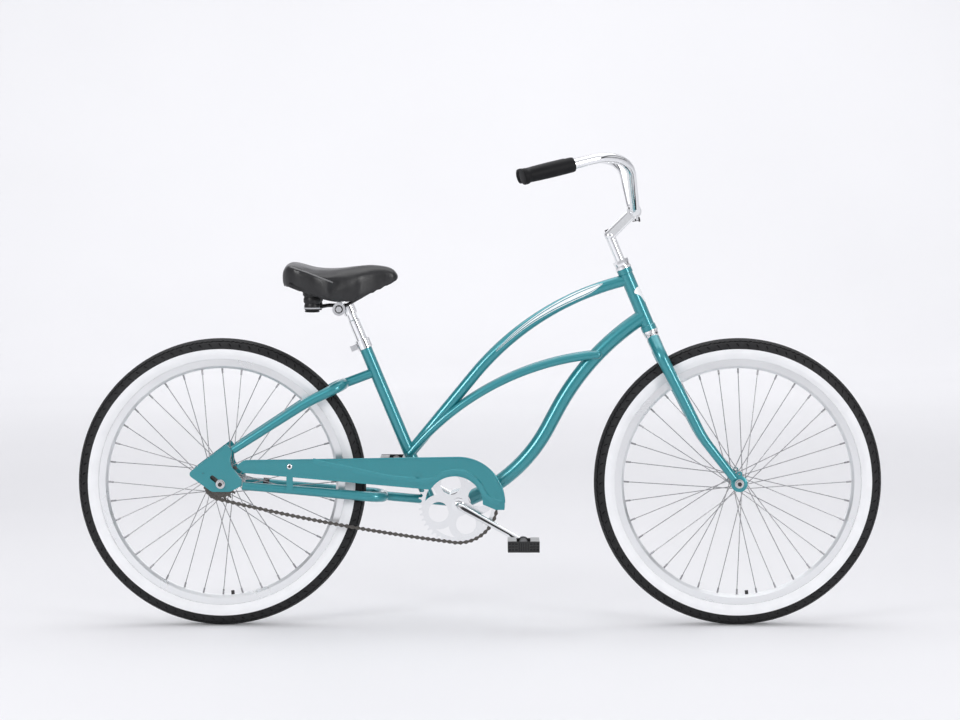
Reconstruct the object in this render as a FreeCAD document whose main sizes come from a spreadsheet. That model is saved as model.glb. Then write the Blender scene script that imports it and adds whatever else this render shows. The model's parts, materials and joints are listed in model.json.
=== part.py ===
import FreeCAD, Part
import math
import os

import Sketcher
from FreeCAD import Placement, Rotation, Vector

# Beach cruiser bicycle with 26 inch wheels, a curved step-over frame and a coaster brake.
# Millimetres. +X forward, +Y to the rider's left, +Z up. The origin is on the ground,
# midway between the wheels, in the frame's middle plane. The chain is on the right, -Y.

LENGTHS = {
    # Wheels
    "wheelbase": 1195,
    "tyre_height": 54,
    "tyre_wall": 3,
    "tread_groove_radius": 1.2,
    "bead_width": 3.7,
    "bead_height": 7.5,
    "inner_tube_radius": 22,
    "inner_tube_gap": 0.3,
    "valve_radius": 4,
    "valve_hole_gap": 0.3,
    "valve_length": 34,
    "rim_seat_radius": 279.5,
    "rim_bed_depth": 15.5,
    "rim_shoulder_depth": 9.5,
    "rim_well_depth": 5.5,
    "rim_flange_height": 6,
    "rim_width": 32,
    "rim_bed_width": 18,
    "rim_seat_width": 16,
    "rim_well_width": 12,
    "rim_flange_wall": 2.5,
    "spoke_radius": 1,
    "spoke_head_radius": 1.9,
    "spoke_head_height": 1,
    "spoke_bend_radius": 2.4,
    "spoke_hole_radius": 1.3,
    "spoke_stand_off": 2.6,
    "nipple_radius": 2.1,
    "nipple_length": 12,
    "nipple_offset": 3,
    "nipple_gap": 0.3,
    # Hubs and axles
    "axle_radius": 4.75,
    "axle_clearance": 0.5,
    "axle_overhang": 4,
    "bearing_clearance": 0.1,
    "bearing_width": 4,
    "flange_thickness": 3,
    "front_fork_gap": 100,
    "front_flange_spread": 60,
    "front_flange_radius": 19,
    "front_spoke_circle": 15.8,
    "front_barrel_radius": 10,
    "front_cup_radius": 10.5,
    "front_cup_wall": 3,
    "front_cup_depth": 9,
    "front_hub_width": 70,
    "front_cone_radius": 6.2,
    "front_dust_cap_radius": 8.5,
    "front_dust_cap_width": 4.5,
    "front_spacer_radius": 7.5,
    "rear_dropout_gap": 110,
    "rear_flange_spread": 62,
    "rear_flange_radius": 29,
    "rear_spoke_circle": 25.5,
    "rear_barrel_radius": 19,
    "rear_cup_radius": 15.2,
    "rear_cup_wall": 3.3,
    "rear_cup_depth": 7,
    "rear_hub_width": 74,
    "rear_cone_radius": 9,
    "rear_dust_cap_radius": 19,
    "rear_dust_cap_width": 3,
    "rear_dust_cap_gap": 0.4,
    "rear_spacer_radius": 10,
    "driver_radius": 14.5,
    "driver_depth": 5,
    "driver_race_radius": 11,
    "driver_race_depth": 5,
    "driver_cone_radius": 6.9,
    "washer_radius": 10.5,
    "washer_thickness": 2,
    "axle_nut_radius": 8.7,
    "axle_nut_height": 9,
    # Chain drive
    "chain_pitch": 12.7,
    "chain_slack": 8,
    "chain_line": 45,
    "chain_inner_gap": 3.6,
    "chain_plate": 1.2,
    "chain_play": 0.1,
    "chain_roller_radius": 3.88,
    "chain_bore_radius": 2.1,
    "chain_pin_radius": 1.95,
    "chain_pin_stub": 0.7,
    "chain_inner_height": 8.6,
    "chain_outer_height": 8,
    "sprocket_thickness": 2.8,
    "tooth_height": 3.6,
    "tooth_tip_width": 3.2,
    "tooth_clearance": 0.3,
    "ring_window_circle": 49,
    "ring_window_radius": 23.2,
    "ring_web": 16.8,
    "ring_slot_radius": 77,
    "ring_hub_radius": 22,
    # Cranks and pedals
    "bracket_drop": 48.5,
    "shell_radius": 28.5,
    "shell_bore_radius": 25.65,
    "shell_width": 68,
    "crank_cup_lip": 3,
    "crank_cup_depth": 9,
    "crank_cup_bore": 18.6,
    "crank_cone_radius": 13,
    "crank_locknut_width": 5,
    "crank_locknut_radius": 15,
    "crank_length": 170,
    "crank_tube_radius": 9,
    "crank_arm_radius": 8.8,
    "crank_arm_end_radius": 6.8,
    "crank_arm_out": 70,
    "crank_eye_out": 80,
    "crank_bend_radius": 15,
    "crank_eye_radius": 13.5,
    "crank_eye_width": 14,
    "crank_shoulder_radius": 15,
    "crank_shoulder_width": 5,
    "drive_pin_radius": 4,
    "drive_pin_circle": 30,
    "drive_pin_gap": 0.2,
    "pedal_thread_radius": 6.3,
    "pedal_spindle_radius": 4.5,
    "pedal_spindle_gap": 0.08,
    "pedal_collar_radius": 8.5,
    "pedal_collar_width": 3.5,
    "pedal_length": 72,
    "pedal_height": 25,
    "pedal_width": 88,
    "pedal_plate": 9,
    "pedal_plate_height": 20,
    "pedal_corner_radius": 4,
    "pedal_barrel_radius": 11,
    "pedal_end_gap": 0.3,
    "tread_length": 20,
    "tread_groove_width": 3.5,
    "tread_groove_depth": 2.5,
    # Frame tubes
    "head_tube_radius": 16,
    "head_tube_bore": 14.4,
    "head_tube_length": 155,
    "head_ring_radius": 17.6,
    "head_ring_width": 12,
    "top_tube_radius": 13.5,
    "top_tube_bend": 650,
    "top_tube_foot_rise": 117.7,
    "top_tube_head_drop": 27.5,
    "mid_tube_radius": 9.6,
    "mid_tube_foot_offset": 8,
    "mid_tube_end_offset": 20,
    "mid_tube_head_gap": 139,
    "down_tube_radius": 17.5,
    "down_tube_offset": 100.4,
    "down_tube_low_bend": 361,
    "down_tube_high_bend": 584,
    "down_tube_head_rise": 35.7,
    "seat_tube_radius": 14.3,
    "seat_tube_length": 397,
    "seat_tube_setback": 68,
    "seat_tube_plug": 40,
    "stay_yoke_length": 174,
    "stay_yoke_radius": 10.5,
    "chain_stay_front_radius": 12,
    "chain_stay_rear_radius": 9.5,
    "chain_stay_spread": 48,
    "chain_stay_flare_at": 390,
    "chain_stay_flare_bend": 220,
    "chain_stay_end_gap": 50,
    "stay_nose_bend": 34,
    "seat_yoke_drop": 74,
    "seat_yoke_radius": 11,
    "seat_stay_top_radius": 13.2,
    "seat_stay_end_radius": 9,
    "seat_stay_spread": 46,
    "seat_stay_end_forward": 28.7,
    "seat_stay_end_rise": 77.8,
    "seat_stay_bend_forward": 198.5,
    "seat_stay_bend_rise": 187.5,
    "seat_stay_bend": 420,
    "seat_stay_nose_forward": 281,
    "seat_stay_nose_rise": 227.5,
    "dropout_thickness": 5,
    "dropout_tip_back": 77,
    "dropout_tip_rise": 23,
    "dropout_tip_round": 9,
    "dropout_top_forward": 15,
    "dropout_top_rise": 92,
    "dropout_corner_forward": 27,
    "dropout_corner_rise": 77,
    "dropout_waist_forward": 20,
    "dropout_waist_rise": 48,
    "dropout_waist_round": 30,
    "dropout_toe_forward": 49,
    "dropout_toe_rise": 11,
    "dropout_toe_drop": 4,
    "dropout_heel_forward": 22,
    "dropout_heel_back": 20,
    "dropout_heel_drop": 18,
    "dropout_heel_round": 16,
    "dropout_small_round": 3,
    "dropout_slot_length": 24,
    "dropout_slot_gap": 0.3,
    "eyelet_hole_radius": 2.5,
    "eyelet_radius": 6.5,
    "rear_eyelet_back": 38.6,
    "rear_eyelet_rise": 25.5,
    # Chain guard
    "guard_out": 55.5,
    "guard_depth": 6.5,
    "guard_wall": 1.4,
    "guard_lip": 2.5,
    "guard_rib_height": 1.2,
    "guard_rib_inset": 9,
    "guard_rear_gap": 53.5,
    "guard_tip_back": 19,
    "guard_rear_top_rise": 54.9,
    "guard_tip_rise": 41.5,
    "guard_rear_low_rise": 25.9,
    "guard_front_radius": 107,
    "guard_front_lift": 4,
    "guard_arch_radius": 65,
    "guard_arch_back": 8.8,
    "guard_arch_lift": 1.6,
    "guard_low_back": 64,
    "guard_low_rise": 35.7,
    "guard_foot_forward": 86,
    "guard_foot_drop": 11,
    "guard_small_round": 5,
    "guard_bracket_width": 15,
    "guard_bracket_plate": 2.5,
    "guard_bracket_from_axle": 160,
    "guard_front_bracket_rise": 62,
    "screw_radius": 2.4,
    "screw_head_radius": 5,
    "screw_head_height": 2.6,
    # Seat post and saddle
    "seat_post_radius": 12.65,
    "seat_post_gap": 0.06,
    "seat_post_length": 300,
    "seat_post_showing": 97,
    "seat_post_neck_radius": 11,
    "seat_post_neck_length": 42,
    "seat_clamp_wall": 3,
    "seat_clamp_height": 22,
    "seat_clamp_sink": 15,
    "seat_clamp_ear": 13,
    "seat_clamp_ear_width": 16,
    "seat_clamp_slot": 2.5,
    "bolt_radius": 3,
    "bolt_head_radius": 5.6,
    "bolt_head_height": 4,
    "saddle_pivot_back": 22,
    "saddle_band_wall": 4,
    "saddle_band_height": 26,
    "saddle_block_radius": 13,
    "saddle_block_width": 31,
    "saddle_jaw_radius": 15,
    "saddle_jaw_width": 14,
    "saddle_jaw_gap": 0.3,
    "saddle_bolt_radius": 4,
    "saddle_nut_radius": 7.5,
    "saddle_nut_height": 6,
    "rail_radius": 3.5,
    "rail_spread": 22.8,
    "rail_rise": 8,
    "rail_front": 16,
    "rail_nose_forward": 110,
    "rail_nose_rise": 62,
    "rail_nose_spread": 9,
    "rail_rear": 26,
    "rail_tail_back": 60,
    "rail_tail_rise": 2,
    "rail_tail_spread": 48,
    "rail_bend": 12,
    "bumper_radius": 22,
    "bumper_waist_radius": 18,
    "bumper_foot_radius": 16,
    "bumper_height": 52,
    "bumper_cap": 4,
    "bumper_spread": 52,
    "saddle_height": 90,
    "saddle_length": 260,
    "saddle_half_width": 118,
    "saddle_rear_back": 129.5,
    "saddle_low_rise": 16,
    "saddle_wall": 7,
    "saddle_pan": 3,
    "saddle_pan_rise": 16,
    # Fork, headset, stem and handlebar
    "fork_rake": 51.3,
    "steerer_radius": 12.7,
    "steerer_bore": 11.2,
    "crown_radius": 15.6,
    "crown_height": 34,
    "crown_tyre_rise": 57.5,
    "crown_race_height": 3.6,
    "headset_gap": 0.3,
    "headset_ball_height": 3.4,
    "headset_lower_ball_height": 4,
    "headset_cup_radius": 19,
    "headset_cup_height": 4.8,
    "headset_cup_skirt": 10,
    "headset_cup_bore": 13.4,
    "headset_race_radius": 17.5,
    "headset_ring_radius": 16.8,
    "headset_top_race_height": 5.5,
    "headset_locknut_radius": 18,
    "headset_locknut_height": 7,
    "blade_top_radius": 15,
    "blade_end_radius": 9.8,
    "blade_spread": 46,
    "blade_end_spread": 52.5,
    "blade_start_drop": 10,
    "blade_start_spread": 9,
    "blade_shoulder_drop": 47,
    "blade_shoulder_bend": 36,
    "blade_knee_height": 130,
    "blade_knee_forward": 15,
    "blade_knee_bend": 260,
    "blade_end_height": 14,
    "blade_end_forward": 45.5,
    "fork_end_thickness": 5,
    "fork_end_radius": 14,
    "fork_end_tab": 40,
    "fork_end_tab_width": 17,
    "front_eyelet_rise": 22.5,
    "quill_radius": 11.12,
    "quill_depth": 88,
    "quill_rise": 62,
    "stem_reach": 78.6,
    "stem_arm_height": 25,
    "stem_arm_width": 22,
    "stem_arm_round": 5,
    "stem_clamp_wall": 5.5,
    "stem_clamp_width": 38,
    "stem_ear_length": 8,
    "stem_ear_thickness": 14,
    "stem_ear_width": 16,
    "stem_slot": 2.4,
    "expander_radius": 4,
    "expander_head_radius": 6.5,
    "expander_head_height": 5,
    "wedge_height": 26,
    "bar_radius": 11.1,
    "bar_clamp_gap": 0.05,
    "bar_straight": 60,
    "bar_shoulder": 230,
    "bar_shoulder_back": 23,
    "bar_half_width": 320,
    "bar_rise": 138,
    "bar_sweep": 236,
    "bar_end_drop": 58,
    "bar_low_bend": 55,
    "bar_high_bend": 110,
    "grip_length": 122,
    "grip_radius": 17.2,
    "grip_neck_radius": 16,
    "grip_flange_width": 7,
    "grip_end_radius": 18.3,
    "grip_cap": 3,
    # Coaster brake
    "brake_arm_thickness": 3,
    "brake_arm_radius": 14,
    "brake_arm_end_radius": 8,
    "brake_arm_reach": 98,
    "brake_locknut_width": 3.5,
    "brake_clip_width": 14,
    "brake_clip_wall": 1.5,
    "brake_clip_taper_room": 1.2,
    # Room that cutting tools take beyond what they cut
    "overrun": 10,
}

ANGLES = {
    "head_angle": 67,
    "seat_angle": 67.3,
    "top_tube_lead": 12.05,
    "down_tube_lead": 16.69,
    "tooth_seat_angle": 75,
    "crank_angle": -28.9,
    "ring_window_angle": 21,
    "stem_angle": 45,
    "stem_ear_angle": -80,
    "dropout_slot_angle": 141,
    "tread_groove_angle": 24,
    "valve_angle": -85,
}

COUNTS = {
    "chain_link_count": 118,
    "ring_tooth_count": 44,
    "sprocket_tooth_count": 18,
    "ring_window_count": 4,
    "spoke_count": 36,
    "spoke_cross_count": 3,
    "hex_count": 6,
    "pedal_groove_count": 5,
    "bumper_fold_count": 3,
}

# Saddle stations from tail to nose: place along the length, then half width,
# crown, skirt edge and belly as shares of the saddle's half width and height.
SADDLE_STATION_SHARES = [
    (0.012, 0.70, 0.80, 0.69, 0.46),
    (0.075, 0.94, 1.0, 0.82, 0.42),
    (0.20, 1.00, 0.885, 0.72, 0.28),
    (0.36, 0.93, 0.84, 0.62, 0.12),
    (0.51, 0.66, 0.85, 0.55, 0.03),
    (0.66, 0.40, 0.92, 0.62, 0.14),
    (0.81, 0.275, 0.945, 0.70, 0.33),
    (0.93, 0.22, 0.85, 0.68, 0.46),
    (0.99, 0.13, 0.68, 0.61, 0.53),
]
SADDLE_CROWN_WIDTH_SHARE = 0.72
SADDLE_BELLY_WIDTH_SHARE = 0.90
SADDLE_CROWN_FALL_SHARE = 0.34
SADDLE_SIDE_BULGE_SHARE = 0.2
SADDLE_EDGE_ROUND_SHARE = 0.16

SPOKES_IN_SET = 4
FULL_TURN = 360
RIGHT_ANGLE = 90
RIGHT = Vector(0, -1, 0)
LEFT = Vector(0, 1, 0)
UP = Vector(0, 0, 1)
NOWHERE = Vector(0, 0, 0)
SAME_PLACE = 1e-6


class Size(float):
    """A number that carries the sheet expression that it comes from."""

    def __new__(cls, value, text):
        size = super().__new__(cls, value)
        size.text = text
        return size

    def __add__(self, other):
        return Size(float(self) + float(other), f"({self.text} + {text_of(other)})")

    def __radd__(self, other):
        return Size(float(other) + float(self), f"({text_of(other)} + {self.text})")

    def __sub__(self, other):
        return Size(float(self) - float(other), f"({self.text} - {text_of(other)})")

    def __rsub__(self, other):
        return Size(float(other) - float(self), f"({text_of(other)} - {self.text})")

    def __mul__(self, other):
        return Size(float(self) * float(other), f"({self.text} * {text_of(other)})")

    def __rmul__(self, other):
        return Size(float(other) * float(self), f"({text_of(other)} * {self.text})")

    def __truediv__(self, other):
        return Size(float(self) / float(other), f"({self.text} / {text_of(other)})")

    def __neg__(self):
        return Size(-float(self), f"(-{self.text})")


def text_of(number):
    return number.text if isinstance(number, Size) else repr(float(number))


class Sizes:
    """The driving sizes by name, read from the sheet that holds them."""

    def __init__(self, document, *tables):
        self.sheet = document.addObject("Spreadsheet::Sheet", "Sizes")
        row = 0
        for table in tables:
            for alias, value in table.items():
                row += 1
                self.sheet.set(f"A{row}", alias)
                self.sheet.set(f"B{row}", str(value))
                self.sheet.setAlias(f"B{row}", alias)
        document.recompute()

    def __getattr__(self, alias):
        return Size(getattr(self.sheet, alias), f"Sizes.{alias}")


doc = FreeCAD.newDocument("BeachCruiser")
dim = Sizes(doc, LENGTHS, ANGLES, COUNTS)


# Angles in degrees

def cosine(angle):
    return math.cos(math.radians(angle))


def sine(angle):
    return math.sin(math.radians(angle))


def polar(angle, radius):
    """Offset in the upright plane, with the angle up from forward."""
    return Vector(cosine(angle) * radius, 0, sine(angle) * radius)


def across(distance):
    """Offset to the right of the bicycle."""
    return RIGHT * float(distance)


# Document objects with sizes tied to the sheet

def bind(thing, sizes):
    for name, size in sizes.items():
        if isinstance(size, Size):
            thing.setExpression(name, size.text)
        else:
            setattr(thing, name, size)


def add(kind, label, **sizes):
    thing = doc.addObject(kind, label)
    thing.Label = label
    bind(thing, sizes)
    return thing


def aimed(base, axis):
    return Placement(base, Rotation(UP, axis))


def cylinder(label, radius, height, base, axis):
    rod = add("Part::Cylinder", label, Radius=radius, Height=height)
    rod.Placement = aimed(base, axis)
    return rod


def ball(label, radius, centre):
    sphere = add("Part::Sphere", label, Radius=radius)
    sphere.Placement = Placement(centre, Rotation())
    return sphere


def ring(label, large_radius, small_radius, centre):
    torus = add("Part::Torus", label, Radius1=large_radius, Radius2=small_radius)
    torus.Placement = aimed(centre, RIGHT)
    return torus


def hexagon(label, radius, height, base, axis):
    prism = add("Part::Prism", label, Circumradius=radius, Height=height)
    prism.Polygon = int(dim.hex_count)
    prism.Placement = aimed(base, axis)
    return prism


def block(label, length, width, height, centre, rotation=Rotation()):
    """A box about its centre; length, width and height are along its own X, Y and Z."""
    box = add("Part::Box", label, Length=length, Width=width, Height=height)
    corner = Vector(float(length) / 2, float(width) / 2, float(height) / 2)
    box.Placement = Placement(centre - rotation.multVec(corner), rotation)
    return box


def fuse(label, *shapes):
    joined = shapes[0]
    for number, shape in enumerate(shapes[1:], start=2):
        name = label if number == len(shapes) else f"{label}_join_{number}"
        step = add("Part::Fuse", name, Refine=False)
        step.Base = joined
        step.Tool = shape
        joined = step
    return joined


def cut(label, base, *tools):
    left = base
    for number, tool in enumerate(tools, start=1):
        name = label if number == len(tools) else f"{label}_cut_{number}"
        step = add("Part::Cut", name, Refine=False)
        step.Base = left
        step.Tool = tool
        left = step
    return left


def common(label, first, second):
    shared = add("Part::Common", label)
    shared.Base = first
    shared.Tool = second
    return shared


def group(label, *members):
    """One node of separate solids."""
    together = add("Part::Compound", label)
    together.Links = list(members)
    return together


def mirrored(label, source):
    """The same piece on the other side of the frame's middle plane."""
    twin = add("Part::Mirroring", label)
    twin.Source = source
    twin.Base = NOWHERE
    twin.Normal = LEFT
    return twin


def both_sides(label, right_piece):
    return group(label, right_piece, mirrored(f"{label}_left", right_piece))


def shaped(label, shape):
    feature = doc.addObject("Part::Feature", label)
    feature.Label = label
    feature.Shape = shape
    return feature


def tie_corner(constraints, ties, edge, corner):
    """Hold the start of a sketch edge at its two coordinates."""
    for kind, axis, size in (("DistanceX", -2, corner[0]), ("DistanceY", -1, corner[1])):
        if size == 0:
            constraints.append(Sketcher.Constraint("PointOnObject", edge, 1, axis))
            continue
        if isinstance(size, Size):
            ties[len(constraints)] = size.text
        constraints.append(Sketcher.Constraint(kind, -1, 1, edge, 1, float(size)))


def profile_sketch(body, label, corners):
    """A closed sketch of straight sides on the body's upright plane."""
    sketch = body.newObject("Sketcher::SketchObject", label)
    plane = next(item for item in body.Origin.OriginFeatures if item.Role == "XZ_Plane")
    sketch.AttachmentSupport = [(plane, "")]
    sketch.MapMode = "FlatFace"
    places = [Vector(float(x), float(z), 0) for x, z in corners]
    sides = list(zip(places, places[1:] + places[:1]))
    sketch.addGeometry([Part.LineSegment(start, end) for start, end in sides], False)
    constraints = []
    ties = {}
    for edge in range(len(corners)):
        constraints.append(Sketcher.Constraint("Coincident", edge, 2, (edge + 1) % len(corners), 1))
    for edge, corner in enumerate(corners):
        tie_corner(constraints, ties, edge, corner)
    sketch.addConstraint(constraints)
    for index, text in ties.items():
        sketch.setExpression(f"Constraints[{index}]", text)
    return sketch


def turned(label, corners, base, axis):
    """A piece turned about the line through base: corners are (radius, distance along it)."""
    body = doc.addObject("PartDesign::Body", label)
    body.Label = label
    sketch = profile_sketch(body, f"{label}_profile", corners)
    lathe = body.newObject("PartDesign::Revolution", f"{label}_turned")
    lathe.Profile = sketch
    lathe.ReferenceAxis = (sketch, ["V_Axis"])
    lathe.Angle = FULL_TURN
    body.Placement = aimed(base, axis)
    return body


def sleeve(label, bore, radius, start, end, base, axis):
    """A plain turned ring from start to end along its axis."""
    return turned(label, [(bore, start), (radius, start), (radius, end), (bore, end)], base, axis)


# Paths and outlines

def corner_arc(before, corner, after, radius):
    """Tangent points and middle of a round corner."""
    back = (before - corner).normalize()
    onward = (after - corner).normalize()
    half = back.getAngle(onward) / 2
    reach = float(radius) / math.tan(half)
    bisector = (back + onward).normalize()
    centre = corner + bisector * (float(radius) / math.sin(half))
    return corner + back * reach, centre - bisector * float(radius), corner + onward * reach


def straight(start, end):
    return Part.LineSegment(start, end).toShape()


def bent_path(points, radii):
    """Straight runs through the points, joined by arcs at the inner points."""
    edges = []
    last = points[0]
    for index, radius in enumerate(radii, start=1):
        first, middle, second = corner_arc(points[index - 1], points[index], points[index + 1], radius)
        edges.append(straight(last, first))
        edges.append(Part.Arc(first, middle, second).toShape())
        last = second
    edges.append(straight(last, points[-1]))
    return Part.Wire(edges)


def outline(pieces, out):
    """Closed wire in an upright plane, out to the right by that much.

    A piece is a corner (place, radius) or a round (centre, radius, from angle, to angle).
    """
    runs = []
    for piece in pieces:
        if len(piece) > 2:
            centre, radius, start, end = piece
            runs.append([centre + polar(angle, radius) for angle in (start, (start + end) / 2, end)])
        else:
            runs.append([piece[0]])
    rounded = []
    for index, piece in enumerate(pieces):
        run = runs[index]
        if len(piece) == 2 and piece[1]:
            after = runs[(index + 1) % len(runs)][0]
            run = list(corner_arc(runs[index - 1][-1], piece[0], after, piece[1]))
        rounded.append([place + across(out) for place in run])
    edges = []
    for index, run in enumerate(rounded):
        before = rounded[index - 1][-1]
        if before.distanceToPoint(run[0]) > SAME_PLACE:
            edges.append(straight(before, run[0]))
        if len(run) > 1:
            edges.append(Part.Arc(*run).toShape())
    return Part.Wire(edges)


def plate(label, wire, thickness, direction=RIGHT):
    slab = add("Part::Extrusion", label, LengthFwd=thickness)
    slab.Base = shaped(f"{label}_outline", wire)
    slab.DirMode = "Custom"
    slab.Dir = direction
    slab.Solid = True
    return slab


def section(label, radius, place, direction):
    circle = add("Part::Circle", label, Radius=radius)
    circle.Placement = aimed(place, direction)
    return circle


def tube(label, wire, radius, end_radius=None):
    """A round tube along a path, tapering where it has an end radius."""
    first = wire.OrderedEdges[0]
    last = wire.OrderedEdges[-1]
    path = shaped(f"{label}_path", wire)
    start_place = first.valueAt(first.FirstParameter)
    sections = [section(f"{label}_start", radius, start_place, first.tangentAt(first.FirstParameter))]
    if end_radius is not None:
        end_place = last.valueAt(last.LastParameter)
        sections.append(section(f"{label}_end", end_radius, end_place, last.tangentAt(last.LastParameter)))
    sweep = add("Part::Sweep", label)
    sweep.Sections = sections
    sweep.Spine = (path, [f"Edge{number}" for number in range(1, len(wire.Edges) + 1)])
    sweep.Solid = True
    sweep.Frenet = False
    return sweep


def strap_outline(start, start_radius, end, end_radius, out):
    """A flat strap that wraps two round ends."""
    gap = end - start
    heading = math.degrees(math.atan2(gap.z, gap.x))
    lean = math.degrees(math.acos((float(start_radius) - float(end_radius)) / gap.Length))
    pieces = [
        (start, start_radius, heading + lean, heading + FULL_TURN / 2),
        (start, start_radius, heading + FULL_TURN / 2, heading + FULL_TURN - lean),
        (end, end_radius, heading - lean, heading),
        (end, end_radius, heading, heading + lean),
    ]
    return outline(pieces, out)


# Reference points: the chain sets how far the rear axle sits behind the cranks

def pitch_radius(teeth):
    return dim.chain_pitch / (2 * sine(FULL_TURN / teeth / 2))


ring_step = FULL_TURN / float(dim.ring_tooth_count)
sprocket_step = FULL_TURN / float(dim.sprocket_tooth_count)
ring_pitch_radius = pitch_radius(float(dim.ring_tooth_count))
sprocket_pitch_radius = pitch_radius(float(dim.sprocket_tooth_count))
mean_tooth_count = (float(dim.ring_tooth_count) + float(dim.sprocket_tooth_count)) / 2
rough_stay_length = float(dim.chain_pitch * (dim.chain_link_count - mean_tooth_count) / 2)
chain_lean = math.degrees(math.asin((ring_pitch_radius - sprocket_pitch_radius) / rough_stay_length))
ring_wrap = round((RIGHT_ANGLE + chain_lean) / ring_step)
sprocket_wrap = round((RIGHT_ANGLE - chain_lean) / sprocket_step)
span_links = int(dim.chain_link_count) // 2 - ring_wrap - sprocket_wrap
ring_leave = polar(ring_wrap * ring_step, ring_pitch_radius)
sprocket_leave = polar(FULL_TURN / 2 - sprocket_wrap * sprocket_step, sprocket_pitch_radius)
span_length = span_links * float(dim.chain_pitch)
span_forward = math.sqrt(span_length ** 2 - (ring_leave.z - sprocket_leave.z) ** 2)
stay_length = span_forward - ring_leave.x + sprocket_leave.x

rim_bed_radius = dim.rim_seat_radius - dim.rim_bed_depth
rim_shoulder_radius = dim.rim_seat_radius - dim.rim_shoulder_depth
rim_well_radius = dim.rim_seat_radius - dim.rim_well_depth
rim_flange_radius = dim.rim_seat_radius + dim.rim_flange_height
tyre_section_radius = dim.tyre_height / 2
wheel_radius = dim.rim_seat_radius + dim.tyre_height
rear_axle = Vector(-float(dim.wheelbase) / 2, 0, float(wheel_radius))
front_axle = Vector(float(dim.wheelbase) / 2, 0, float(wheel_radius))
bracket_forward = math.sqrt(stay_length ** 2 - dim.bracket_drop ** 2)
bracket = rear_axle + Vector(bracket_forward, 0, -float(dim.bracket_drop))
stay_heading = math.degrees(math.atan2(-dim.bracket_drop, bracket_forward))
stay_forward = polar(stay_heading, 1)

steer_up = polar(FULL_TURN / 2 - dim.head_angle, 1)
steer_forward = polar(RIGHT_ANGLE - dim.head_angle, 1)
steer_foot = front_axle - steer_forward * float(dim.fork_rake)
crown_seat = wheel_radius + dim.crown_tyre_rise
lower_ball_foot = crown_seat + dim.crown_race_height + dim.headset_gap
head_tube_rise = lower_ball_foot + dim.headset_lower_ball_height + dim.headset_cup_height
seat_up = polar(FULL_TURN / 2 - dim.seat_angle, 1)
seat_forward = polar(RIGHT_ANGLE - dim.seat_angle, 1)
seat_foot = bracket - stay_forward * float(dim.seat_tube_setback)
seat_top = seat_foot + seat_up * float(dim.seat_tube_length)


def steer(height, forward=0, out=0):
    """A point by its height along the steering axis and its distance in front of it."""
    return steer_foot + steer_up * float(height) + steer_forward * float(forward) + across(out)


def stay_point(from_bracket, out):
    return bracket - stay_forward * float(from_bracket) + across(out)


def from_rear_axle(forward, rise, out=0):
    return rear_axle + Vector(float(forward), 0, float(rise)) + across(out)


# Frame

def head_outline():
    """The head tube's outside, foot to top, with a thicker ring at each end."""
    length = dim.head_tube_length
    wide = dim.head_ring_radius
    radius = dim.head_tube_radius
    low = dim.head_ring_width
    high = length - low
    slope = wide - radius
    return [(wide, 0), (wide, low), (radius, low + slope), (radius, high - slope), (wide, high),
            (wide, length)]


def build_head_tube():
    bore = dim.head_tube_bore
    corners = [(bore, 0)] + head_outline() + [(bore, dim.head_tube_length)]
    return turned("head_tube", corners, steer(head_tube_rise), steer_up)


def head_core():
    """The room that the head tube takes, bore and all, for fitting other tubes to it."""
    corners = [(0, 0)] + head_outline() + [(0, dim.head_tube_length)]
    return turned("head_core", corners, steer(head_tube_rise), steer_up)


def build_seat_tube(yoke_core):
    bore = dim.seat_post_radius + dim.seat_post_gap
    corners = [
        (0, 0), (dim.seat_tube_radius, 0), (dim.seat_tube_radius, dim.seat_tube_length),
        (bore, dim.seat_tube_length), (bore, dim.seat_tube_plug), (0, dim.seat_tube_plug),
    ]
    blank = turned("seat_tube_blank", corners, seat_foot, seat_up)
    return cut("seat_tube", blank, yoke_core)


def heading_to(start, end):
    """The angle above level of the line from one point to another."""
    return math.degrees(math.atan2(end.z - start.z, end.x - start.x))


def top_tube_ends():
    foot = seat_foot + seat_up * float(dim.top_tube_foot_rise)
    head = steer(head_tube_rise + dim.head_tube_length - dim.top_tube_head_drop)
    return foot, head


def top_tube_heading():
    """The top tube sets off steeper than the line to its far end, and bends down to it."""
    return heading_to(*top_tube_ends()) + dim.top_tube_lead


def top_tube_wire():
    foot, head = top_tube_ends()
    return Part.Wire(run_and_bend(foot, top_tube_heading(), head, dim.top_tube_bend))


def run_and_bend(start, heading, end, radius):
    """A straight run at that heading, then a bend to the right that ends at the given point."""
    along = polar(heading, 1)
    right = polar(heading - RIGHT_ANGLE, 1)
    gap = end - start
    turn = math.acos(1 - gap.dot(right) / radius)
    bend_start = start + along * (gap.dot(along) - radius * math.sin(turn))
    centre = bend_start + right * float(radius)
    middle = centre - polar(heading - RIGHT_ANGLE - math.degrees(turn) / 2, radius)
    return [straight(start, bend_start), Part.Arc(bend_start, middle, end).toShape()]


def down_tube_parts():
    """The lower bend's edge and the rest of the down tube's path."""
    end = steer(head_tube_rise + dim.down_tube_head_rise)
    heading = heading_to(bracket, end) + dim.down_tube_lead
    low = float(dim.down_tube_low_bend)
    right = polar(heading - RIGHT_ANGLE, 1)
    turn = math.acos(1 - dim.down_tube_offset / low)
    bend_end = bracket + right * float(dim.down_tube_offset) + polar(heading, low * math.sin(turn))
    centre = bend_end - right * low
    middle = centre + polar(heading - RIGHT_ANGLE - math.degrees(turn) / 2, low)
    low_arc = Part.Arc(bracket, middle, bend_end).toShape()
    return [low_arc] + run_and_bend(bend_end, heading, end, dim.down_tube_high_bend)


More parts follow.
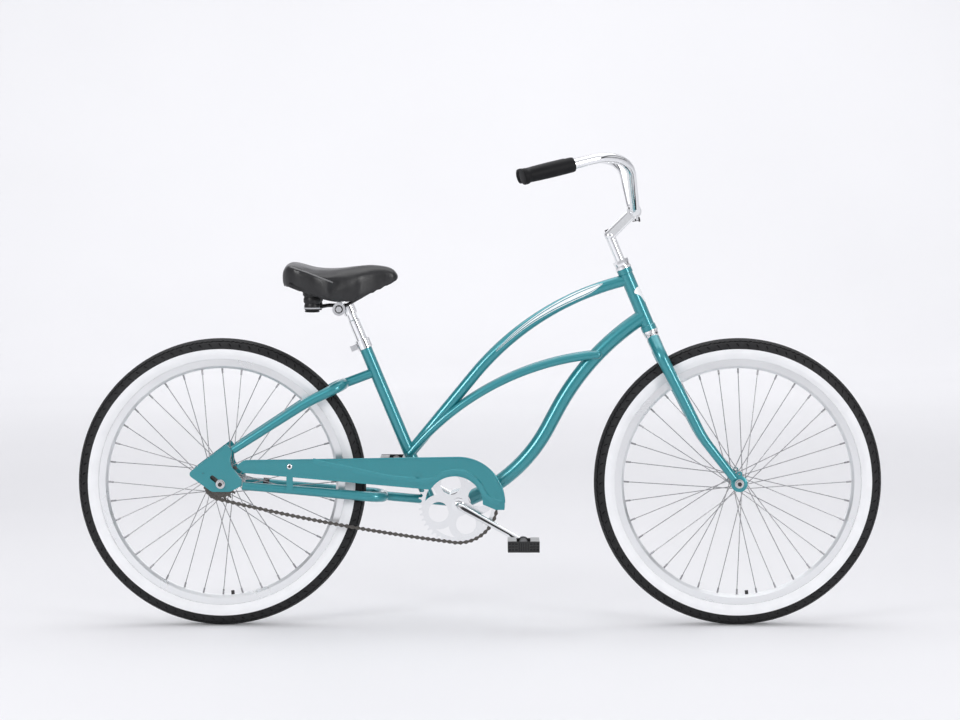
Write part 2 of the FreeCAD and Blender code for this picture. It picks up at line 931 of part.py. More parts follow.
def mid_tube_wire(down_edges):
    """One arc from the seat tube to the side of the down tube, spreading as it goes."""
    high_arc = down_edges[-1]
    start = top_tube_ends()[0]
    end = high_arc.valueAt(high_arc.getParameterByLength(high_arc.Length - float(dim.mid_tube_head_gap)))
    chord = end - start
    chord_heading = heading_to(start, end)
    half_turn = top_tube_heading() - chord_heading
    sagitta = chord.Length / 2 * math.tan(math.radians(half_turn / 2))
    middle = (start + end) / 2 + polar(chord_heading + RIGHT_ANGLE, sagitta)
    mean_offset = (dim.mid_tube_foot_offset + dim.mid_tube_end_offset) / 2
    arc = Part.Arc(start + across(dim.mid_tube_foot_offset), middle + across(mean_offset),
                   end + across(dim.mid_tube_end_offset))
    return Part.Wire([arc.toShape()])


def build_main_tubes():
    yoke_core = cylinder("yoke_core", dim.stay_yoke_radius, dim.stay_yoke_length, bracket, -stay_forward)
    shell_core = cylinder("shell_core", dim.shell_radius, dim.shell_width,
                          bracket - across(dim.shell_width / 2), RIGHT)
    seat_core = cylinder("seat_core", dim.seat_tube_radius, dim.seat_tube_length, seat_foot, seat_up)
    head = head_core()
    build_seat_tube(yoke_core)

    top_blank = tube("top_tube_blank", top_tube_wire(), dim.top_tube_radius)
    cut("top_tube", top_blank, head, seat_core)
    down_edges = down_tube_parts()
    down_blank = tube("down_tube_blank", Part.Wire(down_edges), dim.down_tube_radius)
    cut("down_tube", down_blank, head, shell_core)

    mid_wire = mid_tube_wire(down_edges)
    mid_edge = mid_wire.Edges[0]
    mid_blank = fuse("mid_tube_blank",
                     tube("mid_tube_run", mid_wire, dim.mid_tube_radius),
                     ball("mid_tube_foot", dim.mid_tube_radius, mid_edge.valueAt(mid_edge.FirstParameter)),
                     ball("mid_tube_tip", dim.mid_tube_radius, mid_edge.valueAt(mid_edge.LastParameter)))
    middle_slab = block("mid_tube_divider", dim.wheelbase, dim.wheelbase, dim.wheelbase,
                        LEFT * (float(dim.wheelbase) / 2))
    mid_right = cut("mid_tube_right", mid_blank, seat_core, top_blank, down_blank, middle_slab)
    both_sides("mid_tubes", mid_right)

    sleeve("bottom_bracket_shell", dim.shell_bore_radius, dim.shell_radius,
           -dim.shell_width / 2, dim.shell_width / 2, bracket, RIGHT)
    return seat_core, shell_core, yoke_core


def dropout_outline():
    corners = [
        (-dim.dropout_tip_back, dim.dropout_tip_rise, dim.dropout_tip_round),
        (dim.dropout_top_forward, dim.dropout_top_rise, dim.dropout_small_round),
        (dim.dropout_corner_forward, dim.dropout_corner_rise, dim.dropout_small_round),
        (dim.dropout_waist_forward, dim.dropout_waist_rise, dim.dropout_waist_round),
        (dim.dropout_toe_forward, dim.dropout_toe_rise, dim.dropout_small_round),
        (dim.dropout_toe_forward, -dim.dropout_toe_drop, dim.dropout_small_round),
        (dim.dropout_heel_forward, -dim.dropout_heel_drop, dim.dropout_heel_round),
        (-dim.dropout_heel_back, -dim.dropout_heel_drop, dim.dropout_heel_round),
    ]
    pieces = [(from_rear_axle(forward, rise), radius) for forward, rise, radius in corners]
    return outline(pieces, dim.rear_dropout_gap / 2)


def build_dropouts():
    inside = across(dim.rear_dropout_gap / 2 - dim.overrun)
    through = dim.dropout_thickness + 2 * dim.overrun
    slot_radius = dim.axle_radius + dim.dropout_slot_gap
    slot_end = polar(dim.dropout_slot_angle, dim.dropout_slot_length)
    blank = plate("dropout_blank", dropout_outline(), dim.dropout_thickness)
    slot = plate("dropout_slot", strap_outline(rear_axle, slot_radius, rear_axle + slot_end, slot_radius,
                                               dim.rear_dropout_gap / 2 - dim.overrun), through)
    eyelet = cylinder("dropout_eyelet", dim.eyelet_hole_radius, through,
                      from_rear_axle(-dim.rear_eyelet_back, dim.rear_eyelet_rise) + inside, RIGHT)
    return cut("dropout_right", blank, slot, eyelet)


def build_stays(dropout, seat_core, shell_core, yoke_core):
    end_out = dim.rear_dropout_gap / 2 + dim.dropout_thickness / 2
    end_along = stay_length - dim.chain_stay_end_gap
    chain_points = [
        stay_point(end_along, end_out),
        stay_point(dim.chain_stay_flare_at, dim.chain_stay_spread),
        stay_point(dim.stay_yoke_length, dim.chain_stay_spread),
        stay_point(dim.stay_yoke_length, 0),
    ]
    chain_wire = bent_path(chain_points, [dim.chain_stay_flare_bend, dim.stay_nose_bend])
    chain_blank = tube("chain_stay_blank", chain_wire, dim.chain_stay_rear_radius,
                       dim.chain_stay_front_radius)
    chain_right = cut("chain_stay_right", chain_blank, dropout)
    chain_stays = both_sides("chain_stays", chain_right)

    seat_points = [
        from_rear_axle(dim.seat_stay_end_forward, dim.seat_stay_end_rise, end_out),
        from_rear_axle(dim.seat_stay_bend_forward, dim.seat_stay_bend_rise, dim.seat_stay_spread),
        from_rear_axle(dim.seat_stay_nose_forward, dim.seat_stay_nose_rise, dim.seat_stay_spread),
        from_rear_axle(dim.seat_stay_nose_forward, dim.seat_stay_nose_rise),
    ]
    seat_wire = bent_path(seat_points, [dim.seat_stay_bend, dim.stay_nose_bend])
    seat_blank = tube("seat_stay_blank", seat_wire, dim.seat_stay_end_radius, dim.seat_stay_top_radius)
    seat_right = cut("seat_stay_right", seat_blank, dropout)
    seat_stays = both_sides("seat_stays", seat_right)

    yoke_top = seat_top - seat_up * float(dim.seat_yoke_drop)
    seat_yoke_blank = tube("seat_yoke_blank", Part.Wire([straight(yoke_top, seat_points[-1])]),
                           dim.seat_yoke_radius)
    seat_yoke = cut("seat_stay_yoke_tube", seat_yoke_blank, seat_core, seat_stays)
    chain_yoke = cut("chain_stay_yoke_tube", yoke_core, shell_core, chain_stays)
    group("stay_yokes", chain_yoke, seat_yoke)
    both_sides("rear_dropouts", dropout)
    return chain_blank


def guard_pieces(inset):
    """The guard's outline, drawn in by the inset along its lower edge and its arch."""
    back = rear_axle.x
    arch = bracket + Vector(-float(dim.guard_arch_back), 0, float(dim.guard_arch_lift))
    front = bracket + Vector(0, 0, float(dim.guard_front_lift))
    arch_radius = dim.guard_arch_radius + inset
    low = bracket + Vector(-float(dim.guard_low_back), 0, float(dim.guard_low_rise) + float(inset))
    low_angle = math.degrees(math.asin((low.z - arch.z) / arch_radius))
    foot = bracket + Vector(float(dim.guard_foot_forward), 0, float(inset) - float(dim.guard_foot_drop))
    foot_angle = -math.degrees(math.asin((front.z - foot.z) / dim.guard_front_radius))
    small = dim.guard_small_round
    rear = back + float(dim.guard_rear_gap)
    return [
        (Vector(rear, 0, rear_axle.z + float(dim.guard_rear_low_rise + inset)), small),
        (arch, arch_radius, FULL_TURN / 2 - low_angle, 0),
        (foot, small),
        (front, dim.guard_front_radius, foot_angle, RIGHT_ANGLE),
        (Vector(rear, 0, rear_axle.z + float(dim.guard_rear_top_rise)), small),
        (Vector(rear - float(dim.guard_tip_back - inset), 0, rear_axle.z + float(dim.guard_tip_rise)), small),
    ]


def build_chain_guard(chain_stay_blank, seat_core):
    out = dim.guard_out
    skin_out = out + dim.guard_depth
    blank = plate("guard_blank", outline(guard_pieces(0), out), dim.guard_depth)
    hollow = plate("guard_hollow", outline(guard_pieces(dim.guard_lip), out - dim.overrun),
                   dim.guard_depth - dim.guard_wall + dim.overrun)
    tray = cut("guard_tray", blank, hollow)
    rib = plate("guard_rib", outline(guard_pieces(dim.guard_rib_inset), skin_out), dim.guard_rib_height)
    pressed = fuse("guard_pressed", tray, rib)

    face_out = skin_out + dim.guard_rib_height
    skin = skin_out - dim.guard_wall
    rear_foot = stay_point(stay_length - dim.guard_bracket_from_axle, 0)
    screw_height = rear_axle.z + float(dim.guard_rear_low_rise + dim.guard_bracket_width)
    rear_screw = Vector(rear_foot.x, 0, screw_height)
    front_foot = seat_foot + seat_up * float(dim.guard_front_bracket_rise)
    front_screw = Vector(front_foot.x, 0, front_foot.z)
    strap = dim.guard_bracket_plate
    strip = dim.guard_bracket_width
    rear_height = screw_height - rear_foot.z + float(strip) / 2
    rear_upright = block("guard_rear_upright", strip, strap, rear_height,
                         Vector(rear_foot.x, 0, rear_foot.z + rear_height / 2) + across(skin - strap / 2))
    rear_strap = cut("guard_rear_strap", rear_upright, chain_stay_blank)
    front_reach = skin
    front_bar = block("guard_front_bar", strip, front_reach, strap, front_screw + across(front_reach / 2))
    front_tab = block("guard_front_tab", strip, strap, strip,
                      front_screw + Vector(0, 0, float(strip) / 2) + across(skin - strap / 2))
    front_strap = cut("guard_front_strap", fuse("guard_front_angle", front_bar, front_tab), seat_core)

    screws = []
    holes = []
    places = (("rear", rear_screw), ("front", front_screw + Vector(0, 0, float(strip) / 2)))
    for name, place in places:
        inner = place + across(skin - strap)
        length = face_out - skin + strap
        shank = cylinder(f"guard_{name}_shank", dim.screw_radius, length, inner, RIGHT)
        head = cylinder(f"guard_{name}_head", dim.screw_head_radius, dim.screw_head_height,
                        place + across(face_out), RIGHT)
        screws.append(fuse(f"guard_{name}_screw", shank, head))
        holes.append(shank)
    cut("chain_guard", pressed, *holes, rear_upright)
    rear_piece = cut("guard_rear_bracket", rear_strap, holes[0])
    front_piece = cut("guard_front_bracket", front_strap, holes[1])
    group("chain_guard_brackets", rear_piece, front_piece, *screws)


def build_seat_clamp(seat_core):
    """A split collar round the top of the seat tube, with its pinch bolt behind."""
    base = seat_top - seat_up * float(dim.seat_clamp_sink)
    outer = dim.seat_tube_radius + dim.seat_clamp_wall
    collar = sleeve("seat_clamp_collar", dim.seat_tube_radius, outer, 0, dim.seat_clamp_height, base, seat_up)
    middle = base + seat_up * (float(dim.seat_clamp_height) / 2)
    turn = Rotation(UP, seat_up)
    ear_out = outer + dim.seat_clamp_ear / 2
    ear_centre = middle - seat_forward * float(ear_out)
    ear_length = dim.seat_clamp_ear + dim.seat_clamp_wall
    ear = block("seat_clamp_ears", ear_length, dim.seat_clamp_ear_width, dim.seat_clamp_ear, ear_centre, turn)
    slit_length = dim.seat_clamp_ear + 2 * outer
    slit = block("seat_clamp_slit", slit_length, dim.seat_clamp_slot, dim.seat_clamp_height + dim.overrun,
                 middle - seat_forward * (float(slit_length) / 2), turn)
    half_width = dim.seat_clamp_ear_width / 2
    shank = cylinder("seat_clamp_shank", dim.bolt_radius, dim.seat_clamp_ear_width,
                     ear_centre - across(half_width), RIGHT)
    head = hexagon("seat_clamp_head", dim.bolt_head_radius, dim.bolt_head_height,
                   ear_centre + across(half_width), RIGHT)
    nut = hexagon("seat_clamp_nut", dim.bolt_head_radius, dim.bolt_head_height,
                  ear_centre - across(half_width), LEFT)
    bolt = fuse("seat_clamp_bolt_piece", shank, head, nut)
    band = cut("seat_clamp_band", fuse("seat_clamp_blank", collar, ear), seat_core, slit, shank)
    lip_bore = cylinder("seat_clamp_bore", dim.seat_post_radius + dim.seat_post_gap,
                        dim.seat_clamp_height + dim.overrun, base, seat_up)
    clean = cut("seat_clamp_clean", band, lip_bore)
    group("seat_clamp", clean, bolt)


# Wheels

def build_rim(label, axle):
    half = dim.rim_width / 2
    inside = half - dim.rim_flange_wall
    seat_half = dim.rim_seat_width / 2
    well_half = dim.rim_well_width / 2
    bed_half = dim.rim_bed_width / 2
    right_side = [
        (rim_bed_radius, bed_half), (rim_shoulder_radius, half), (rim_flange_radius, half),
        (rim_flange_radius, inside), (dim.rim_seat_radius, inside), (dim.rim_seat_radius, seat_half),
        (rim_well_radius, well_half),
    ]
    left_side = [(radius, -out) for radius, out in reversed(right_side)]
    blank = turned(f"{label}_blank", right_side + left_side, axle, RIGHT)
    hole = cylinder(f"{label}_valve_hole", dim.valve_radius + dim.valve_hole_gap, rim_flange_radius,
                    axle, polar(dim.valve_angle, 1))
    return cut(label, blank, hole)


def build_tyre(label, axle):
    crown = wheel_radius - tyre_section_radius
    outer = ring(f"{label}_outer", crown, tyre_section_radius, axle)
    inner = ring(f"{label}_inner", crown, tyre_section_radius - dim.tyre_wall, axle)
    width = 2 * tyre_section_radius + dim.overrun
    mouth = cylinder(f"{label}_mouth", rim_flange_radius, width, axle - across(width / 2), RIGHT)
    grooves = []
    for turn in (-1, 0, 1):
        angle = turn * dim.tread_groove_angle
        place = axle + across(tyre_section_radius * sine(angle))
        radius = crown + tyre_section_radius * cosine(angle)
        grooves.append(ring(f"{label}_groove_{turn + 2}", radius, dim.tread_groove_radius, place))
    casing = cut(f"{label}_casing", outer, inner, mouth, *grooves)
    bead_out = dim.rim_width / 2 - dim.rim_flange_wall
    bead_top = dim.rim_seat_radius + dim.bead_height
    bead = sleeve(f"{label}_bead", dim.rim_seat_radius, bead_top, bead_out - dim.bead_width, bead_out,
                  axle, RIGHT)
    other = sleeve(f"{label}_other_bead", dim.rim_seat_radius, bead_top, -bead_out,
                   dim.bead_width - bead_out, axle, RIGHT)
    return fuse(label, casing, bead, other)


def build_inner_tube(label, axle):
    crown = wheel_radius - dim.tyre_wall - dim.inner_tube_gap - dim.inner_tube_radius
    balloon = ring(f"{label}_ring", crown, dim.inner_tube_radius, axle)
    toward = polar(dim.valve_angle, 1)
    root = rim_flange_radius + dim.valve_radius
    valve = cylinder(f"{label}_valve", dim.valve_radius, dim.valve_length,
                     axle + toward * float(root), -toward)
    return fuse(label, balloon, valve)


def spoke_shape(hub_angle, rim_angle, circle, flange_out, outside):
    """One spoke on the right flange: its head, elbow and shank, and the nipple at the rim."""
    half_flange = float(dim.flange_thickness) / 2
    side = 1 if outside else -1
    hole = polar(hub_angle, circle)
    head = hole + across(float(flange_out) - side * half_flange)
    elbow = hole + across(float(flange_out) + side * (half_flange + float(dim.spoke_stand_off)))
    rim = polar(rim_angle, rim_bed_radius - dim.nipple_gap) + across(dim.nipple_offset)
    wire = bent_path([head, elbow, rim], [dim.spoke_bend_radius])
    round_end = Part.Wire(Part.makeCircle(float(dim.spoke_radius), head, elbow - head))
    shank = wire.makePipeShell([round_end], True, False)
    button = Part.makeCylinder(float(dim.spoke_head_radius), float(dim.spoke_head_height), head, head - elbow)
    toward = (elbow - rim).normalize()
    nipple = Part.makeCylinder(float(dim.nipple_radius), float(dim.nipple_length), rim, toward)
    return shank.fuse([button, nipple])


def build_spokes(label, axle, circle, flange_spread):
    """Laced spokes: a set has one that pulls and one that trails on each flange."""
    step = FULL_TURN / float(dim.spoke_count)
    lead = float(dim.spoke_cross_count) * 2 * step
    flange_out = flange_spread / 2
    pulling = spoke_shape(-lead, 0, circle, flange_out, True)
    trailing = spoke_shape(2 * step + lead, 2 * step, circle, flange_out, False)
    half_turn = Rotation(UP, FULL_TURN / 2)
    spokes = []
    for number in range(int(dim.spoke_count) // SPOKES_IN_SET):
        for source in (pulling, trailing):
            for side_turn, shift in ((Rotation(), 0), (half_turn, step)):
                angle = SPOKES_IN_SET * step * number + shift
                copy = source.copy()
                copy.Placement = Placement(axle, Rotation(RIGHT, angle).multiply(side_turn))
                spokes.append(copy)
    return shaped(label, Part.makeCompound(spokes))


def spoke_holes(label, axle, circle, width):
    """The tools that drill both flanges, each turned by half a hole from the other."""
    step = FULL_TURN / float(dim.spoke_count)
    tools = []
    for number in range(int(dim.spoke_count) // 2):
        for side, shift in ((1, 0), (-1, step)):
            angle = 2 * step * number + shift
            place = axle + polar(angle, circle)
            hole = Part.makeCylinder(float(dim.spoke_hole_radius), float(width) / 2, place, RIGHT * side)
            tools.append(hole)
    return shaped(f"{label}_spoke_holes", Part.makeCompound(tools))


def hub_corners(barrel, cup, cup_wall, cup_depth, flange, spread, width):
    bore = dim.axle_radius + dim.axle_clearance
    outer = cup + cup_wall
    edge = width / 2
    flange_in = spread / 2 - dim.flange_thickness / 2
    flange_out = spread / 2 + dim.flange_thickness / 2
    right = [
        (bore, edge - cup_depth), (cup, edge - cup_depth), (cup, edge), (outer, edge), (outer, flange_out),
        (flange, flange_out), (flange, flange_in), (outer, flange_in), (barrel, flange_in - cup_wall),
    ]
    left = [(radius, -out) for radius, out in reversed(right)]
    return right + left


def build_front_hub():
    corners = hub_corners(dim.front_barrel_radius, dim.front_cup_radius, dim.front_cup_wall,
                          dim.front_cup_depth, dim.front_flange_radius, dim.front_flange_spread,
                          dim.front_hub_width)
    blank = turned("front_hub_blank", corners, front_axle, RIGHT)
    return cut("front_hub", blank, spoke_holes("front_hub", front_axle, dim.front_spoke_circle,
                                               dim.front_hub_width))


def build_rear_hub():
    corners = hub_corners(dim.rear_barrel_radius, dim.rear_cup_radius, dim.rear_cup_wall,
                          dim.rear_cup_depth, dim.rear_flange_radius, dim.rear_flange_spread,
                          dim.rear_hub_width)
    blank = turned("rear_hub_blank", corners, rear_axle, RIGHT)
    return cut("rear_hub", blank, spoke_holes("rear_hub", rear_axle, dim.rear_spoke_circle,
                                              dim.rear_hub_width))


def axle_and_nuts(name, axle, gap, end_thickness):
    """The axle with a washer and a nut outside each frame end."""
    face = gap / 2 + end_thickness
    nut_face = face + dim.washer_thickness
    half = nut_face + dim.axle_nut_height + dim.axle_overhang
    cylinder(f"{name}_axle", dim.axle_radius, 2 * half, axle - across(half), RIGHT)
    hole = cylinder(f"{name}_axle_core", dim.axle_radius, 2 * half, axle - across(half), RIGHT)
    washer = sleeve(f"{name}_washer", dim.axle_radius, dim.washer_radius, face, nut_face, axle, RIGHT)
    hexed = hexagon(f"{name}_nut_blank", dim.axle_nut_radius, dim.axle_nut_height,
                    axle + across(nut_face), RIGHT)
    nut = cut(f"{name}_nut", hexed, hole)
    return [washer, nut, mirrored(f"{name}_washer_left", washer), mirrored(f"{name}_nut_left", nut)]


def build_front_axle_set():
    fastenings = axle_and_nuts("front", front_axle, dim.front_fork_gap, dim.fork_end_thickness)
    edge = dim.front_hub_width / 2
    ring_start = edge - dim.front_cup_depth + dim.headset_gap
    ring_end = ring_start + dim.bearing_width
    cone_end = dim.front_fork_gap / 2
    cap_start = edge + dim.headset_gap
    cap_end = cap_start + dim.front_dust_cap_width
    cone = turned("front_cone", [
        (dim.axle_radius, ring_start), (dim.front_cone_radius, ring_start),
        (dim.front_cone_radius, cap_start),
        (dim.front_dust_cap_radius, cap_start), (dim.front_dust_cap_radius, cap_end),
        (dim.front_spacer_radius, cap_end), (dim.front_spacer_radius, cone_end), (dim.axle_radius, cone_end),
    ], front_axle, RIGHT)
    fastenings += [cone, mirrored("front_cone_left", cone)]
    group("front_axle_hardware", *fastenings)
    bearing = sleeve("front_bearing", dim.front_cone_radius, dim.front_cup_radius - dim.bearing_clearance,
                     ring_start, ring_end, front_axle, RIGHT)
    both_sides("front_hub_bearings", bearing)


def build_rear_axle_set():
    """Axle, nuts and the left cone; the driver's own cone is on the right."""
    fastenings = axle_and_nuts("rear", rear_axle, dim.rear_dropout_gap, dim.dropout_thickness)
    edge = dim.rear_hub_width / 2
    ring_start = edge - dim.rear_cup_depth + dim.headset_gap
    ring_end = ring_start + dim.bearing_width
    cap_start = edge + dim.rear_dust_cap_gap
    cap_end = cap_start + dim.rear_dust_cap_width
    inside = dim.rear_dropout_gap / 2
    arm_start = inside - dim.brake_locknut_width - dim.brake_arm_thickness
    left_cone = turned("rear_left_cone", [
        (dim.axle_radius, ring_start), (dim.rear_cone_radius, ring_start), (dim.rear_cone_radius, cap_start),
        (dim.rear_dust_cap_radius, cap_start), (dim.rear_dust_cap_radius, cap_end),
        (dim.rear_spacer_radius, cap_end), (dim.rear_spacer_radius, arm_start), (dim.axle_radius, arm_start),
    ], rear_axle, LEFT)
    locknut = sleeve("rear_left_locknut", dim.axle_radius, dim.rear_spacer_radius,
                     inside - dim.brake_locknut_width, inside, rear_axle, LEFT)
    driver_end = dim.chain_line + dim.sprocket_thickness / 2 + dim.driver_depth / 2
    race_start = driver_end - dim.driver_race_depth + dim.headset_gap
    right_cone = turned("rear_right_cone", [
        (dim.axle_radius, race_start), (dim.driver_cone_radius, race_start),
        (dim.driver_cone_radius, driver_end + dim.headset_gap),
        (dim.rear_spacer_radius, driver_end + dim.headset_gap),
        (dim.rear_spacer_radius, inside), (dim.axle_radius, inside),
    ], rear_axle, RIGHT)
    group("rear_axle_hardware", *fastenings, left_cone, locknut, right_cone)
    left_bearing = sleeve("rear_left_bearing", dim.rear_cone_radius,
                          dim.rear_cup_radius - dim.bearing_clearance,
                          ring_start, ring_end, rear_axle, LEFT)
    driver_bearing = sleeve("rear_driver_bearing", dim.driver_cone_radius,
                            dim.driver_race_radius - dim.bearing_clearance,
                            race_start, driver_end - dim.bearing_clearance, rear_axle, RIGHT)
    group("rear_hub_bearings", left_bearing, driver_bearing)


def build_brake_arm(chain_stay_blank):
    """The coaster brake's reaction arm, held to the left chain stay by a clip."""
    inside = dim.rear_dropout_gap / 2
    arm_out = inside - dim.brake_locknut_width
    heading = stay_forward
    end = rear_axle + heading * float(dim.brake_arm_reach)
    strap = strap_outline(rear_axle, dim.brake_arm_radius, end, dim.brake_arm_end_radius, -arm_out)
    blank = plate("brake_arm_blank", strap, dim.brake_arm_thickness)
    hole_length = dim.brake_arm_thickness + 2 * dim.overrun
    hole_foot = rear_axle - across(arm_out + dim.overrun)
    hole = cylinder("brake_arm_hole", dim.axle_radius, hole_length, hole_foot, RIGHT)
    left_stay = mirrored("brake_side_stay", chain_stay_blank)
    cut("brake_arm", blank, hole, left_stay)
    stay_edge = stay_length - dim.brake_arm_reach
    stay_out = stay_spread_at(stay_edge)
    band_radius = dim.chain_stay_rear_radius + dim.brake_clip_taper_room + dim.brake_clip_wall
    band = cylinder("brake_clip_band", band_radius, dim.brake_clip_width,
                    stay_point(stay_edge + dim.brake_clip_width / 2, -stay_out), stay_forward)
    arm_core = plate("brake_clip_arm_room", strap, dim.brake_arm_thickness)
    cut("brake_arm_clip", band, left_stay, arm_core)


def stay_spread_at(from_bracket):
    """How far out the chain stay runs at a distance from the cranks, behind its flare."""
    end_out = dim.rear_dropout_gap / 2 + dim.dropout_thickness / 2
    end_along = stay_length - dim.chain_stay_end_gap
    share = (from_bracket - dim.chain_stay_flare_at) / (end_along - dim.chain_stay_flare_at)
    return dim.chain_stay_spread + (end_out - dim.chain_stay_spread) * share


# Chain drive

def toothed_wire(centre, teeth, radius, phase, out):
    """The outline of a chain wheel: a round seat for each roller, and straight tooth flanks."""
    step = FULL_TURN / teeth
    seat = float(dim.chain_roller_radius) + float(dim.tooth_clearance)
    tip_radius = radius + float(dim.tooth_height)
    tip_turn = math.degrees(float(dim.tooth_tip_width) / 2 / tip_radius)
    seat_turn = dim.tooth_seat_angle
    edges = []
    start = None
    last = None
    for tooth in range(int(teeth)):
        angle = phase + tooth * step
        roller = centre + polar(angle, radius) + across(out)
        inward = angle + FULL_TURN / 2
        first = roller + polar(inward + seat_turn, seat)
        middle = roller + polar(inward, seat)
        second = roller + polar(inward - seat_turn, seat)
        if last is not None:
            edges.append(straight(last, first))
        start = start or first
        edges.append(Part.Arc(first, middle, second).toShape())
        near_tip = centre + polar(angle + step / 2 - tip_turn, tip_radius) + across(out)
        far_tip = centre + polar(angle + step / 2 + tip_turn, tip_radius) + across(out)
        edges.append(straight(second, near_tip))
        edges.append(straight(near_tip, far_tip))
        last = far_tip
    edges.append(straight(last, start))
    return Part.Wire(edges)


def build_sprocket():
    inner = dim.chain_line - dim.sprocket_thickness / 2
    disc = plate("sprocket_disc", toothed_wire(rear_axle, float(dim.sprocket_tooth_count),
                                               float(sprocket_pitch_radius),
                                               stay_heading + FULL_TURN / 2, inner), dim.sprocket_thickness)
    body_core = cylinder("driver_core", dim.driver_radius, dim.rear_dropout_gap / 2, rear_axle, RIGHT)
    toothed = cut("sprocket_toothed", disc, body_core)
    bore = dim.axle_radius + dim.axle_clearance
    end = inner + dim.sprocket_thickness + dim.driver_depth / 2
    start = dim.rear_hub_width / 2 - dim.rear_cup_depth + dim.headset_gap
    race = end - dim.driver_race_depth
    driver = turned("driver", [
        (bore, start), (dim.driver_radius, start), (dim.driver_radius, end), (dim.driver_race_radius, end),
        (dim.driver_race_radius, race), (bore, race),
    ], rear_axle, RIGHT)
    group("rear_sprocket", toothed, driver)


def build_chainring():
    inner = dim.chain_line - dim.sprocket_thickness / 2
    through = dim.sprocket_thickness + 2 * dim.overrun
    inside = across(inner - dim.overrun)
    teeth = toothed_wire(bracket, float(dim.ring_tooth_count), float(ring_pitch_radius), stay_heading, inner)
    disc = plate("chainring_disc", teeth, dim.sprocket_thickness)
    windows = []
    webs = []
    for number in range(int(dim.ring_window_count)):
        angle = dim.ring_window_angle + number * FULL_TURN / dim.ring_window_count
        place = bracket + polar(angle, dim.ring_window_circle) + inside
        windows.append(cylinder(f"chainring_window_{number + 1}", dim.ring_window_radius, through,
                                place, RIGHT))
        webs.append(cylinder(f"chainring_web_{number + 1}", dim.ring_window_radius + dim.ring_web, through,
                             place, RIGHT))
    hub = cylinder("chainring_hub", dim.ring_hub_radius, through, bracket + inside, RIGHT)
    slots = cut("chainring_slots", cylinder("chainring_slot_disc", dim.ring_slot_radius, through,
                                            bracket + inside, RIGHT), *webs, hub)
    bore = cylinder("chainring_bore", dim.crank_tube_radius, through, bracket + inside, RIGHT)
    pin_place = bracket + polar(dim.crank_angle, dim.drive_pin_circle) + inside
    pin_hole = cylinder("chainring_pin_hole", dim.drive_pin_radius + dim.drive_pin_gap, through,
                        pin_place, RIGHT)
    cut("chainring", disc, *windows, slots, bore, pin_hole)


def chain_joints():
    """Joint places in order: round the chainring, along the lower run, round the sprocket and back."""
    joints = []
    for number in range(ring_wrap, -ring_wrap, -1):
        joints.append(bracket + polar(stay_heading + number * ring_step, ring_pitch_radius))
    ring_low = bracket + polar(stay_heading - ring_wrap * ring_step, ring_pitch_radius)
    rear = stay_heading + FULL_TURN / 2
    sprocket_low = rear_axle + polar(rear + sprocket_wrap * sprocket_step, sprocket_pitch_radius)
    for number in range(span_links):
        run = number / span_links
        sag = UP * (float(dim.chain_slack) * (1 - (2 * run - 1) ** 2))
        joints.append(ring_low + (sprocket_low - ring_low) * run - sag)
    for number in range(sprocket_wrap, -sprocket_wrap, -1):
        joints.append(rear_axle + polar(rear + number * sprocket_step, sprocket_pitch_radius))
    sprocket_high = rear_axle + polar(rear - sprocket_wrap * sprocket_step, sprocket_pitch_radius)
    ring_high = bracket + polar(stay_heading + ring_wrap * ring_step, ring_pitch_radius)
    for number in range(span_links):
        joints.append(sprocket_high + (ring_high - sprocket_high) * (number / span_links))
    return joints


def link_plate(height, bore, out):
    """A plate with two round ends and a hole in each, lying along +X."""
    far = Vector(float(dim.chain_pitch), 0, 0)
    ends = [
        (NOWHERE, height / 2, RIGHT_ANGLE, FULL_TURN - RIGHT_ANGLE),
        (far, height / 2, -RIGHT_ANGLE, RIGHT_ANGLE),
    ]
    wires = [outline(ends, out)]
    for place in (NOWHERE, far):
        wires.append(Part.Wire(Part.makeCircle(float(bore), place + across(out), RIGHT)))
    return Part.Face(wires, "Part::FaceMakerBullseye").extrude(across(dim.chain_plate))


def build_chain():
    inner_out = dim.chain_inner_gap / 2
    outer_out = inner_out + dim.chain_plate + dim.chain_play
    pin_half = outer_out + dim.chain_plate + dim.chain_pin_stub
    far = Vector(float(dim.chain_pitch), 0, 0)
    bore = float(dim.chain_bore_radius)
    pin = float(dim.chain_pin_radius)
    bushes = []
    pins = []
    for place in (NOWHERE, far):
        foot = place - across(inner_out)
        bush = Part.makeCylinder(float(dim.chain_roller_radius), float(dim.chain_inner_gap), foot, RIGHT)
        bushes.append(bush.cut(Part.makeCylinder(bore, float(dim.chain_inner_gap), foot, RIGHT)))
        pins.append(Part.makeCylinder(pin, 2 * float(pin_half), place - across(pin_half), RIGHT))
    inner_plates = [link_plate(dim.chain_inner_height, bore, inner_out),
                    link_plate(dim.chain_inner_height, bore, -inner_out - dim.chain_plate)]
    outer_plates = [link_plate(dim.chain_outer_height, pin, outer_out),
                    link_plate(dim.chain_outer_height, pin, -outer_out - dim.chain_plate)]
    inner_link = inner_plates[0].fuse(inner_plates[1:] + bushes)
    outer_link = outer_plates[0].fuse(outer_plates[1:] + pins)
    joints = chain_joints()
    links = []
    for number, joint in enumerate(joints):
        onward = joints[(number + 1) % len(joints)] - joint
        copy = (inner_link if number % 2 else outer_link).copy()
        heading = Rotation(RIGHT, math.degrees(math.atan2(onward.z, onward.x)))
        copy.Placement = Placement(joint + across(dim.chain_line), heading)
        links.append(copy)
    shaped("chain", Part.makeCompound(links))


# Cranks and pedals

def crank_eye(side):
    return bracket + polar(dim.crank_angle, side * dim.crank_length) + across(side * dim.crank_eye_out)


